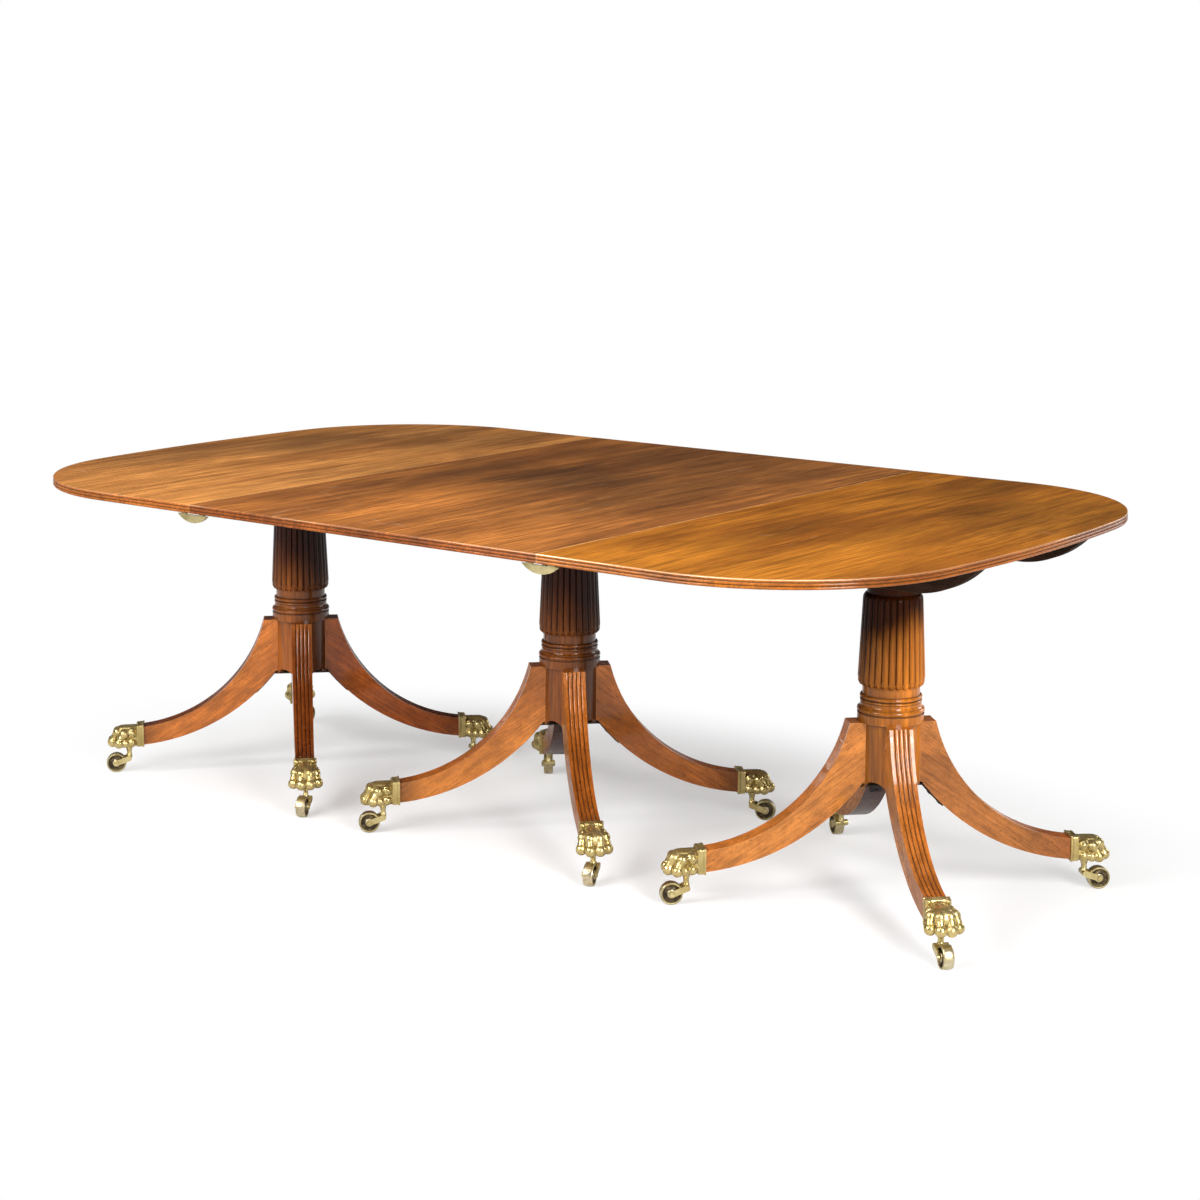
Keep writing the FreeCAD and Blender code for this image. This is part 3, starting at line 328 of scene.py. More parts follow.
def setShader(tree, look, shown, rough, height, more=None):
    shader = tree.nodes["Principled BSDF"]
    bump = addNode(tree, "ShaderNodeBump", {"Distance": look["relief"], "Height": height})
    values = {"Base Color": shown, "Roughness": rough, "Normal": bump.outputs["Normal"], **(more or {})}
    plain = {name: look[word] for word, name in plainValues.items() if word in look}
    for name, value in {**plain, **values}.items():
        feed(tree, shader.inputs[name], value)


# polished boards: grain across the table, dry unpolished wood below

boardFinish = {
    # clouds are darker patches on the top: x, y, half width, half length, depth
    "left": {
        "seed": 3.1, "dark": (0.18, 0.066, 0.018), "mid": (0.41, 0.158, 0.0395), "light": (0.6, 0.25, 0.063),
        "streaks": 0.56, "smoke": 0.5, "crest": 0.2,
        "clouds": ((-0.9, 0.2, 0.16, 0.34, 0.7), (-0.74, 0.42, 0.26, 0.26, 0.5), (-1.01, -0.15, 0.12, 0.42, 0.6),
                   (-0.58, 0.5, 0.14, 0.36, 0.4), (-0.5, -0.1, 0.1, 0.4, 0.25))},
    "centre": {
        "seed": 8.7, "dark": (0.125, 0.042, 0.0135), "mid": (0.3, 0.104, 0.0245), "light": (0.5, 0.178, 0.038),
        "streaks": 0.58, "smoke": 0.6, "crest": 0.24,
        "clouds": ((-0.05, 0.1, 0.32, 0.3, 0.95), (0.0, 0.5, 0.55, 0.36, 0.75), (0.2, 0.05, 0.16, 0.5, 0.75),
                   (-0.33, 0.05, 0.14, 0.5, 0.65), (0.08, -0.3, 0.1, 0.3, 0.35))},
    "right": {
        "seed": 14.2, "dark": (0.12, 0.036, 0.0055), "mid": (0.31, 0.098, 0.0105), "light": (0.5, 0.176, 0.0165),
        "streaks": 0.46, "smoke": 0.4, "edge": (0.82, 0.68, 0.52), "edgeCoat": 0.5, "crest": 0.75,
        "clouds": ((0.81, 0.02, 0.08, 0.26, 0.32), (0.85, 0.26, 0.12, 0.22, 0.55), (0.68, 0.55, 0.12, 0.34, 0.5),
                   (0.64, -0.22, 0.06, 0.3, 0.4), (0.98, 0.3, 0.12, 0.34, 0.5))},
    "edge": (0.62, 0.44, 0.27), "edgeCoat": 0.22,  # edge is painted shade on the edges, and the right board's edge has its own lighter one and its own coat
    "pores": 0.4, "wear": 0.55, "hollows": 0.005, "edges": 0.0016,
    "cloudTint": (0.4, 0.45, 0.62), "cloudSpan": (0.2, 1.25), "driftReach": (0.22, 0.5, 0),
    "drift": ((14, 2.2, 14), 4.0, 0.6),
    "scratches": (0.6, (0.8, 0.62, 0.42)), "grimeAndShade": (0.85, (0.035, 0.012, 0.005)),
    "dents": (0.5, (0.035, 0.012, 0.005)), "dentDepth": 1.5,
    "rubbed": (0.72, 0.4, 0.16), "edgeRub": 0.55, "seamRub": (0.0006, 0.003),
    "seamBreaks": ((20, 38, 20), 4.0, 0.7), "breakSpan": (0.36, 0.6, 0.2, 0.9),
    "belowFacing": (-0.95, -0.7), "edgeFacing": (0.6, 0.97),  # how far the faces below and at the edge look up
    # the painted highlight's colour, and the facings, height and noise that place it on the top reed's crest
    "highlightColour": (0.95, 0.72, 0.46), "crestFrom": (0.15, 0.45), "crestTo": (0.75, 0.95), "crestUp": (0.718, 0.7195),
    "crestNoise": (3.2, 2.0, 0.5), "crestSpan": (0.4, 0.58), "crestLeast": 0.2,
    "dry": (0.2, 0.1, 0.05), "dryShare": 0.65, "roughness": 0.54, "hazeDull": 0.1, "woodDull": 0.18, "dryDull": 0.4,
    "specular": 0.1, "coat": 0.0, "coatRoughness": 0.12, "relief": 0.00022,
}
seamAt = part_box("centre_top")[1][0]  # the joints between the boards lie this far from the middle


def makeBoardFinish(side):
    look = {**boardFinish, **boardFinish[side]}
    seed = look["seed"]
    material, tree, place = newMaterial(side + "BoardPolish")
    wood, marks, worn, height = effectsOf(tree, look, seed, place, place)
    drifted = driftOf(tree, place, seed, look["driftReach"], *look["drift"])
    clouds = []
    for x, y, wide, long, depth in look["clouds"]:
        spread = stretchOf(tree, drifted, (1 / wide, 1 / long, 0), shift=(-x / wide, -y / long, 0))
        clouds.append(times(tree, fallOf(tree, vectorOf(tree, "LENGTH", spread), *look["cloudSpan"]), depth))
    shown = tintOf(tree, wood["Color"], look["cloudTint"], largestOf(tree, *clouds))
    shown = layOver(tree, shown, marks["Scratches"], look["scratches"])
    ways = axesOf(tree, place)
    fromSeam = sizeOf(tree, minus(tree, sizeOf(tree, ways["X"]), seamAt))
    broken = rangeOf(tree, figureOf(tree, place, seed, *look["seamBreaks"]), *look["breakSpan"])
    seam = times(tree, fallOf(tree, fromSeam, *look["seamRub"]), broken)
    rub = largestOf(tree, seam, times(tree, worn["Rub"], look["edgeRub"]))
    shown = soilAndShadeOf(tree, look, blendOf(tree, rub, shown, look["rubbed"]), marks, worn)
    facing = facingOf(tree)
    below = fallOf(tree, facing, *look["belowFacing"])
    # painted shade on the faces at the edge, which turn away from the top
    shown = tintOf(tree, shown, look["edge"], fallOf(tree, facing, *look["edgeFacing"]))
    # painted highlight on the upper shoulder of the top reed, strongest on the right board
    crest = times(tree, rangeOf(tree, facing, *look["crestFrom"]), fallOf(tree, facing, *look["crestTo"]))
    crest = times(tree, crest, rangeOf(tree, ways["Z"], *look["crestUp"]))
    uneven = noiseOf(tree, place, *look["crestNoise"], seed)["Fac"]
    uneven = rangeOf(tree, uneven, *look["crestSpan"], look["crestLeast"] * look["crest"], look["crest"])
    shown = blendOf(tree, times(tree, crest, uneven), shown, look["highlightColour"])  # a painted highlight along the top reed's crest
    shown = blendOf(tree, below, shown, blendOf(tree, look["dryShare"], wood["Color"], look["dry"]))
    rough = roughOf(tree, look, marks, (wood["Dullness"], look["woodDull"]), (below, look["dryDull"]))
    sheen = rangeOf(tree, facing, *look["edgeFacing"], look["edgeCoat"], look["coat"])
    setShader(tree, look, shown, rough, height, {"Coat Weight": times(tree, minus(tree, 1.0, below), sheen)})
    return material


# turned columns: grain upright, darker and redder than the boards

columnFinish = {
    # the tint near the top is painted shade, cast there by the table top, and fade gives the heights it starts and
    # ends at; lit points to the side painted as lit, and shade is the painted shade on the side away from it
    "dark": (0.05, 0.013, 0.003), "fade": (0.42, 0.53), "lit": (-0.79, -0.61, 0), "shade": 0.36,
    "coat": 0.24, "topCoat": 0.2,
    # the left and centre columns' mid and light are painted darker, a painted shade
    "left": {"seed": 2.0, "mid": (0.2, 0.052, 0.007), "light": (0.32, 0.09, 0.012), "under": (0.24, 0.15, 0.1)},
    "centre": {"seed": 5.5, "mid": (0.18, 0.048, 0.006), "light": (0.29, 0.083, 0.01), "under": (0.24, 0.15, 0.08)},
    "right": {  # painted lighter than the other two, as if better lit, with a deeper painted shade at its top
        "seed": 9.0, "dark": (0.11, 0.032, 0.005), "mid": (0.56, 0.165, 0.012), "light": (0.76, 0.24, 0.018),
        "under": (0.07, 0.045, 0.03), "fade": (0.46, 0.57), "lit": (0.79, 0.61, 0), "shade": 0.5,
        "coat": 0.26, "topCoat": 0.03},
    "streaks": 0.34, "smoke": 0.65, "pores": 0.5, "wear": 0.5, "hollows": 0.013, "edges": 0.0018,
    "ragged": ((30, 30, 9), 3.0, 0.6), "raggedReach": 0.1, "litLift": 0.5, "shadeSpan": (-0.05, 0.02),
    "rub": (0.4, (0.6, 0.25, 0.075)), "grimeAndShade": (0.92, (0.02, 0.007, 0.004)), "dents": (0.6, (0.05, 0.018, 0.009)),
    "dentDepth": 1.5, "roughness": 0.28, "hazeDull": 0.12, "grimeDull": 0.3, "specular": 0.06,
    "ringCoat": 0.6, "ringsTo": (0.414, 0.426), "coatRoughness": 0.08, "relief": 0.0003,
}


def makeColumnFinish(side):
    look = {**columnFinish, **columnFinish[side]}
    seed = look["seed"]
    material, tree, place = newMaterial(side + "ColumnPolish")
    upright = stretchOf(tree, place, turn=(90, 0, 0))
    wood, marks, worn, height = effectsOf(tree, look, seed, upright, place)
    up = axesOf(tree, place)["Z"]
    ragged = times(tree, figureOf(tree, place, seed, *look["ragged"]), look["raggedReach"])
    high = plus(tree, up, minus(tree, ragged, look["raggedReach"] / 2))
    # painted light and shade: the column is lighter on the side lit points to and takes the painted shade on the
    # other
    towardsLight = vectorOf(tree, "DOT_PRODUCT", stretchOf(tree, place, shift=(-sides[side], 0, 0)), look["lit"])
    # painted shade up under the table top, reaching lower on the side away from the light
    under = rangeOf(tree, minus(tree, high, times(tree, towardsLight, look["litLift"])), *look["fade"])
    shown = layOver(tree, wood["Color"], worn["Rub"], look["rub"])
    shown = tintOf(tree, shown, rangeOf(tree, towardsLight, *look["shadeSpan"], look["shade"], 1.0))
    shown = soilAndShadeOf(tree, look, tintOf(tree, shown, look["under"], under), marks, worn)
    rough = roughOf(tree, look, marks, (worn["GrimeAndShade"], look["grimeDull"]))
    gloss = rangeOf(tree, under, 0.0, 1.0, look["coat"], look["topCoat"])
    rings = rangeOf(tree, up, *look["ringsTo"], look["ringCoat"], 0.0)
    setShader(tree, look, shown, rough, height, {"Coat Weight": largestOf(tree, gloss, rings)})
    return material


# sabre legs: the grain follows each leg's slope from the pedestal out to its paw

legFinish = {
    # painted light and shade: tints on the reeded upper faces of a pedestal's legs, on its two rear legs and beside
    # the caps, darker on the left and centre, a little lighter on the right; the right legs' darker mid and light
    # are painted shade
    "left": {
        "seed": 20.0, "mid": (0.57, 0.165, 0.024), "light": (0.67, 0.205, 0.031), "top": (0.33, 0.25, 0.27),
        "rear": (0.6, 0.46, 0.45), "shadingByCap": (0.55, 0.56, 0.6)},
    "centre": {
        "seed": 27.0, "mid": (0.5, 0.158, 0.025), "light": (0.6, 0.2, 0.032), "top": (0.88, 0.75, 0.62),
        "rear": (0.79, 0.73, 0.78), "shadingByCap": (0.52, 0.54, 0.6)},
    "right": {
        "seed": 34.0, "mid": (0.42, 0.139, 0.025), "light": (0.51, 0.18, 0.034), "top": (1.02, 0.9, 0.78),
        "rear": (0.96, 0.96, 1.05), "shadingByCap": (1.1, 1.05, 1.05)},
    "dark": (0.12, 0.03, 0.006), "streaks": 0.16, "smoke": 0.5, "pores": 0.8,
    "wear": 0.8, "hollows": 0.006, "edges": 0.0018, "slope": 35,
    "mottle": ((46, 21, 46), 5.0, 0.68), "mottleSpan": (0.34, 0.66, 0.72, 1.12),
    "specks": ((420, 150, 420), 2.0, 0.6), "speckSpan": (0.56, 0.7, 1.0, 0.55),
    "topFacing": (0.1, 0.4), "rearSpan": (-0.02, 0.05), "capSpan": (0.3, 0.356), "capSmear": 0.06,
    # the tint for faces that look down is painted shade
    "under": (0.2, 0.13, 0.14), "underFacing": (-0.45, -0.15),
    "rub": (0.4, (0.74, 0.38, 0.15)), "grimeAndShade": (0.85, (0.04, 0.013, 0.006)), "dents": (0.75, (0.05, 0.017, 0.008)),
    "dentDepth": 2.0, "roughness": 0.24, "hazeDull": 0.14, "specular": 0.12, "coat": 0.55, "coatRoughness": 0.07,
    "relief": 0.0003,
}


def makeLegFinish(side):
    look = {**legFinish, **legFinish[side]}
    material, tree, place = newMaterial(side + "LegPolish")
    east, north, up = axesOf(tree, stretchOf(tree, place, shift=(-sides[side], 0, 0)))
    first = times(tree, minus(tree, east, north), math.sqrt(0.5))  # the legs stand on the two diagonals
    second = times(tree, plus(tree, east, north), math.sqrt(0.5))
    onSecond = mathOf(tree, "LESS_THAN", sizeOf(tree, first), sizeOf(tree, second))
    onFirst = minus(tree, 1.0, onSecond)
    across = plus(tree, times(tree, first, onSecond), times(tree, second, onFirst))
    out = plus(tree, times(tree, second, onSecond), times(tree, first, onFirst))
    reach = sizeOf(tree, out)
    level, steep = wayOf(look["slope"])
    along = minus(tree, times(tree, reach, level), times(tree, up, steep))
    rise = plus(tree, times(tree, reach, steep), times(tree, up, level))
    grain = vectorFrom(tree, across, along, rise)
    leg = plus(tree, mathOf(tree, "SIGN", out), times(tree, onSecond, 3.0))  # each leg's own number
    seed = plus(tree, leg, look["seed"])
    wood, marks, worn, height = effectsOf(tree, look, seed, grain, place)
    mottle = figureOf(tree, grain, seed, *look["mottle"])
    specks = figureOf(tree, grain, seed, *look["specks"])
    facing = facingOf(tree)
    smeared = plus(tree, reach, times(tree, minus(tree, mottle, 0.5), look["capSmear"]))
    shown = tintOf(tree, wood["Color"], rangeOf(tree, mottle, *look["mottleSpan"]))
    shown = tintOf(tree, shown, rangeOf(tree, specks, *look["speckSpan"]))
    # painted shade on the reeded upper faces, the rear legs and beside the caps, a little painted light on the right
    shown = tintOf(tree, shown, look["top"], rangeOf(tree, facing, *look["topFacing"]))
    shown = tintOf(tree, shown, look["rear"], rangeOf(tree, north, *look["rearSpan"]))
    shown = tintOf(tree, shown, look["shadingByCap"], rangeOf(tree, smeared, *look["capSpan"]))
    # painted shade on the faces that look down
    shown = tintOf(tree, shown, look["under"], fallOf(tree, facing, *look["underFacing"]))
    shown = soilAndShadeOf(tree, look, layOver(tree, shown, worn["Rub"], look["rub"]), marks, worn)
    setShader(tree, look, shown, roughOf(tree, look, marks), height, {"Coat Weight": look["coat"]})
    return material


# bearers and pivot blocks: never polished, near black with dark stain and painted shade

bearerFinish = {
    "seed": 31.0, "dark": (0.01, 0.005, 0.003), "mid": (0.022, 0.011, 0.007), "light": (0.038, 0.019, 0.011),
    "streaks": 0.6, "smoke": 0.3, "pores": 0.7, "wear": 0.7, "hollows": 0.008, "edges": 0.002,
    "rub": (0.35, (0.13, 0.066, 0.036)), "haze": (0.12, (0.14, 0.1, 0.075)), "dentDepth": 0.0,
    "roughness": 0.6, "hazeDull": 0.25, "specular": 0.03, "relief": 0.0005,
}


def makeBearerFinish():
    look = bearerFinish
    material, tree, place = newMaterial("bearerStainAndShade")
    along = stretchOf(tree, place, turn=(0, 0, 90))
    wood, marks, worn, height = effectsOf(tree, look, look["seed"], along, place)
    shown = layOver(tree, wood["Color"], worn["Rub"], look["rub"])
    shown = layOver(tree, shown, marks["Haze"], look["haze"])
    setShader(tree, look, shown, roughOf(tree, look, marks), height)
    return material


# old brass: polished where hands reach, brown and green in the hollows

brassFinish = {
    "castBrass": {"bright": (0.8, 0.67, 0.33), "deep": (0.62, 0.49, 0.2), "hollow": (0.12, 0.085, 0.03),
                  "roughness": 0.22, "tarnish": 0.3, "metal": 0.92},
    "pawBrass": {"bright": (0.65, 0.51, 0.22), "deep": (0.47, 0.35, 0.12), "hollow": (0.13, 0.095, 0.034),
                 "roughness": 0.24, "tarnish": 0.25, "metal": 0.82},
    # dull brass is darker: less polished, and darker still as painted shade under the top
    "dullShadedBrass": {"bright": (0.5, 0.42, 0.22), "deep": (0.33, 0.26, 0.12), "hollow": (0.07, 0.05, 0.022),
                  "roughness": 0.42, "tarnish": 0.6, "metal": 0.9},
    "green": (0.22, 0.22, 0.11), "hollowShare": 0.88, "hollows": 0.004, "edges": 0.001,
    "seed": 41.0, "wear": 0.6, "wearScale": (4, 4, 4), "scratchDepth": 0.8,
    "tone": (34.0, 4.0, 0.6), "toneSpan": (0.35, 0.68), "spots": (160.0, 3.0, 0.6), "spotSpan": (0.56, 0.72),
    "casting": (420.0, 3.0, 0.6), "hazeDull": 0.16, "hollowDull": 0.4, "relief": 0.00012,
}


def makeBrassFinish(name):
    look = {**brassFinish, **brassFinish[name]}
    material, tree, place = newMaterial(name)
    if name == "pawBrass":  # the paws carry how deep each point lies in the carving
        depth = addNode(tree, "ShaderNodeAttribute", attribute_type="GEOMETRY", attribute_name="hollow")
        depth = depth.outputs["Fac"]
    else:
        depth = hollowsAndEdgesOf(tree, look)["GrimeAndShade"]
    worn = stretchOf(tree, place, look["wearScale"])
    marks = placeGroup(tree, marksOfUse, Vector=worn, Seed=look["seed"], Amount=look["wear"])
    tone, spots, casting = (noiseOf(tree, place, *look[layer])["Fac"] for layer in ("tone", "spots", "casting"))
    shown = blendOf(tree, rangeOf(tree, tone, *look["toneSpan"]), look["bright"], look["deep"])
    shown = layOver(tree, shown, rangeOf(tree, spots, *look["spotSpan"]), (look["tarnish"], look["green"]))
    shown = layOver(tree, shown, depth, (look["hollowShare"], look["hollow"]))
    height = minus(tree, casting, times(tree, marks["Scratches"], look["scratchDepth"]))
    setShader(tree, look, shown, roughOf(tree, look, marks, (depth, look["hollowDull"])), height)
    return material


# wrought iron of the straps and the screws

ironFinish = {
    "scale": (0.035, 0.033, 0.032), "rust": (0.7, (0.11, 0.05, 0.025)), "rub": (0.4, (0.16, 0.15, 0.14)),
    "rusted": (60.0, 5.0, 0.65), "rustSpan": (0.48, 0.68), "pitted": (240.0, 4.0, 0.6), "hollows": 0.004,
    "edges": 0.0012, "bareMetal": 0.75, "rustMetal": 0.6, "roughness": 0.55, "rustDull": 0.25, "relief": 0.0006,
}


def makeIronFinish():
    look = ironFinish
    material, tree, place = newMaterial("blackIron")
    rust = rangeOf(tree, noiseOf(tree, place, *look["rusted"])["Fac"], *look["rustSpan"])
    worn = hollowsAndEdgesOf(tree, look)
    shown = layOver(tree, layOver(tree, look["scale"], rust, look["rust"]), worn["Rub"], look["rub"])
    rough = addShares(tree, look["roughness"], (rust, look["rustDull"]))
    pits = noiseOf(tree, place, *look["pitted"])["Fac"]
    metal = minus(tree, look["bareMetal"], times(tree, rust, look["rustMetal"]))
    setShader(tree, look, shown, rough, pits, {"Metallic": metal})
    return material


boardPolish = {side: makeBoardFinish(side) for side in sides}
columnPolish = {side: makeColumnFinish(side) for side in sides}
legPolish = {side: makeLegFinish(side) for side in sides}
bearerStainAndShade = makeBearerFinish()
castBrass = makeBrassFinish("castBrass")
pawBrass = makeBrassFinish("pawBrass")
dullShadedBrass = makeBrassFinish("dullShadedBrass")
blackIron = makeIronFinish()

for side in sides:
    finishes = {"top": boardPolish[side], "column": columnPolish[side], "legs": legPolish[side],
                "bearers": bearerStainAndShade, "block": bearerStainAndShade, "strap": blackIron, "clip_sockets": dullShadedBrass,
                "catch_case": dullShadedBrass, "catch_bolt": dullShadedBrass}
    for corner in corners:
        finishes[corner + "_fork"] = castBrass
    if side != "centre":
        finishes["front_clip"] = finishes["rear_clip"] = dullShadedBrass
    for part, material in finishes.items():
        for slot in frame["nodes"][side + "_" + part].material_slots:
            slot.material = material
print("finishes on the frame's pieces")


# lion paws: rounded masses melted together on a fine grid, then skinned
# places are mm out from the cap's back, across it and up from its base, and the last number is a radius

paw = {
    "back": 358.0, "base": 60.0,  # the cap's back from the pedestal's axis, and its base from the floor
    "grid": 1.15, "gridFrom": (-4.0, -41.0, -4.0), "gridSpan": (92, 82, 64), "outside": 9.0,
    # the collar's blocks end with their rounding and how softly they melt in
    "blocks": (((0, -23.4, 2.6), (16, 23.4, 51.6), 2.2, 2.0), ((0, -24.8, 1.7), (4.0, 24.8, 52.8), 1.3, 0.5),
               ((13.6, -23.9, 2.4), (15.6, 23.9, 51.9), 0.9, 0.5)),
    "mass": (((12, 0, 27), 22.4, (49, 0, 27.6), 21.2), ((16, -11, 14.5), 12.4, (50, -14, 13), 11.6),
             ((16, 11, 14.5), 12.4, (50, 14, 13), 11.6)),
    "hairs": 13, "hairDepth": 1.0, "hairRoot": 12, "hairSpread": 0.004, "hairMiddle": 30,
    "hairFrom": (15, 5), "hairTo": (54, -9), "hairUp": (16, 8),  # where the locks begin or end, and over what length
    "innerToe": ((60.0, 9.2, 33.4), 10.6, (66.6, 9.8, 23.2), 7.4, (71.0, 9.8, 12.0), 11.6),
    "outerToe": ((45.0, 21.4, 32.0), 10.8, (52.6, 25.0, 22.0), 7.2, (56.0, 25.9, 11.6), 11.3),
    "knuckleIn": 0.8, "tipIn": 2.4,  # how much thinner a toe's bone is than its knuckle and its tip
    "pads": ((27.0, 17.6, 33.0, 11.2), (27.0, 20.0, 12.4, 10.6), (42.0, 23.6, 11.4, 10.2)),
    "scrolls": ((7.0, 19.4, 48.2, 4.4), (14.0, 17.6, 47.4, 4.6)),
    "clawTop": (7.6, 6.0, 2.4), "clawEnd": (9.4, -6.5, 1.0),  # out and up from the toe's tip
    "dip": ((8.5, -10, 54.0), 4.6, (8.5, 10, 54.0), 4.6), "flat": 0.05,
    "soft": {"mass": 5.0, "pads": 2.4, "outerToe": 0.9, "innerToe": 0.7, "bones": 2.0, "knobs": 1.4, "claw": 0.6,
             "scrolls": 0.6},
    "bendReach": 2, "bendShare": 0.55, "bendFrom": 0.1,
}


def skinPaw():
    step, soft = paw["grid"], paw["soft"]
    low = np.array(paw["gridFrom"])
    counts = [int(span / step) for span in paw["gridSpan"]]
    lines = (start + step * np.arange(count) for start, count in zip(low, counts))
    axes = u, v, w = np.meshgrid(*lines, indexing="ij")

    def limb(start, first, stop, last):
        run = np.array(stop, float) - start
        gaps = [axis - place for axis, place in zip(axes, start)]
        share = np.clip(sum(gap * part for gap, part in zip(gaps, run)) / run.dot(run), 0, 1)
        away = sum((gap - share * part) ** 2 for gap, part in zip(gaps, run))
        return np.sqrt(away) - first - share * (last - first)

    def ball(x, y, z, radius):
        return np.sqrt((u - x) ** 2 + (v - y) ** 2 + (w - z) ** 2) - radius

    def block(lowest, highest, edge):
        spans = [np.abs(axis - (a + b) / 2) - ((b - a) / 2 - edge) for axis, a, b in zip(axes, lowest, highest)]
        outside = np.sqrt(sum(np.maximum(span, 0) ** 2 for span in spans))
        return outside + np.minimum(np.maximum.reduce(spans), 0) - edge

    def melt(first, second, softness):
        near = np.maximum(softness - np.abs(first - second), 0) / softness
        return np.minimum(first, second) - near * near * softness / 4

    def meltBalls(body, name):
        for sign in (-1, 1):
            for x, y, z, radius in paw[name]:
                body = melt(body, ball(x, sign * y, z, radius), soft[name])
        return body

    def toeOf(sign, knuckle, first, joint, middle, tip, last):
        knuckle, joint, tip = ((x, sign * y, z) for x, y, z in (knuckle, joint, tip))
        toe = melt(limb(knuckle, first - paw["knuckleIn"], joint, middle),
                   limb(joint, middle, tip, last - paw["tipIn"]), soft["bones"])
        toe = melt(toe, ball(*knuckle, first), soft["knobs"])
        toe = melt(toe, ball(*tip, last), soft["knobs"])
        (topOut, topUp, top), (endOut, endUp, end) = paw["clawTop"], paw["clawEnd"]
        claw = limb((tip[0] + topOut, tip[1], tip[2] + topUp), top, (tip[0] + endOut, tip[1], tip[2] + endUp), end)
        return melt(toe, claw, soft["claw"])

    body = limb(*paw["mass"][0])
    for mass in paw["mass"][1:]:
        body = melt(body, limb(*mass), soft["mass"])
    body = meltBalls(body, "pads")
    spread = 1 + paw["hairSpread"] * (u - paw["hairMiddle"])
    fan = np.arctan2(v, w - paw["hairRoot"]) * paw["hairs"] * spread
    shown = 1.0
    for axis, (start, run) in ((u, paw["hairFrom"]), (u, paw["hairTo"]), (w, paw["hairUp"])):
        shown = shown * np.clip((axis - start) / run, 0, 1)
    body = body + paw["hairDepth"] * shown * (0.5 - np.abs(np.sin(fan)))  # locks of hair combed over the instep
    for sign in (-1, 1):
        for toe in ("outerToe", "innerToe"):
            body = melt(body, toeOf(sign, *paw[toe]), soft[toe])
    for lowest, highest, edge, softness in paw["blocks"]:
        body = melt(body, block(lowest, highest, edge), softness)
    body = np.maximum(body, -limb(*paw["dip"]))  # the collar's upper edge rolls over between its scrolls
    body = meltBalls(body, "scrolls")
    body = np.maximum(body, np.maximum(paw["flat"] - u, paw["flat"] - w))
    grid = openvdb.FloatGrid(paw["outside"])
    grid.copyFromArray(np.ascontiguousarray(body, dtype=np.float32))
    points, quads = grid.convertToQuads(isovalue=0.0)
    reach = paw["bendReach"]
    bend = -6 * body  # bend of the surface, below zero in the hollows
    for axis in range(3):
        bend = bend + np.roll(body, reach, axis) + np.roll(body, -reach, axis)
    bend = bend / (reach * step)
    cell = np.clip(np.rint(points).astype(int), 0, np.array(counts) - 1)
    hollow = np.clip(-bend[cell[:, 0], cell[:, 1], cell[:, 2]] * paw["bendShare"] + paw["bendFrom"], 0, 1)
    return low + points * step, quads, hollow


pawPoints, pawQuads, pawHollow = skinPaw()
pawFaces = pawPoints[pawQuads]
pawVolume = 0
for second in (1, 2):  # the two halves of each quad
    normals = np.cross(pawFaces[:, second], pawFaces[:, second + 1])
    pawVolume += np.einsum("ij,ij->i", pawFaces[:, 0], normals).sum()
if pawVolume < 0:  # faces point outwards
    pawQuads = pawQuads[:, ::-1]
print("paw skinned:", len(pawPoints), "points,", len(pawQuads), "quads")


def pawsOf(side):
    out, across, up = paw["back"] + pawPoints[:, 0], pawPoints[:, 1], paw["base"] + pawPoints[:, 2]
    points, quads = [], []
    for turn in corners.values():
        c, s = wayOf(turn)
        quads.append(pawQuads + len(points) * len(pawPoints))
        turned = np.stack((out * c - across * s, out * s + across * c, up), 1)
        points.append(turned / 1000 + np.array((sides[side], 0, 0)))
    mesh = bpy.data.meshes.new(side + "LionPaws")
    mesh.from_pydata(np.concatenate(points).tolist(), [], np.concatenate(quads).tolist())
    hollow = np.tile(pawHollow, len(corners)).astype(np.float32)
    mesh.attributes.new("hollow", "FLOAT", "POINT").data.foreach_set("value", hollow)
    mesh.polygons.foreach_set("use_smooth", np.ones(len(mesh.polygons), bool))
    mesh.materials.append(pawBrass)
    mesh.update()
    piece = standObject(side + "LionPaws", mesh)
    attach(piece, "frame")
    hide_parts(side + "_paw_caps")


for side in sides:
    pawsOf(side)
print("lion paws on the legs")


# castor wheels: worn bright treads, dark dished sides

wheel = {
    # radius and distance along the axle, mm, from the bore out over one side to the middle of the tread
    "outline": ((3.1, 10.0), (7.7, 10.0), (8.4, 9.4), (8.7, 6.9), (9.3, 6.2), (16.6, 6.0), (17.5, 6.5), (17.9, 9.2),
                (18.5, 9.9), (20.4, 9.95), (21.2, 9.5), (21.7, 8.3), (22.2, 4.5), (22.5, 0.0)),
    "dark": (2, 3, 4, 5, 6), "dull": (7, 8, 9),  # spans of the outline that keep their black, and those beside them
    "facets": 72,
}
wheelFinish = {
    "wornTread": {
        "most": (0.78, 0.68, 0.47), "some": (0.55, 0.44, 0.22), "tone": (90.0, 4.0, 0.6), "toneSpan": (0.35, 0.7),
        "metal": 1.0, "roughness": (0.3, 0.7, 0.26, 0.42), "relief": 0.00025,
        "dents": (0.8, (0.09, 0.06, 0.03)), "seed": 47.0, "wear": 0.8, "wearScale": (5, 5, 5)},
    "blackenedBrass": {
        "most": (0.05, 0.037, 0.024), "some": (0.22, 0.16, 0.075), "tone": (130.0, 4.0, 0.65),
        "toneSpan": (0.42, 0.72), "metal": 0.85, "roughness": (0.3, 0.7, 0.6, 0.42), "relief": 0.0004},
}


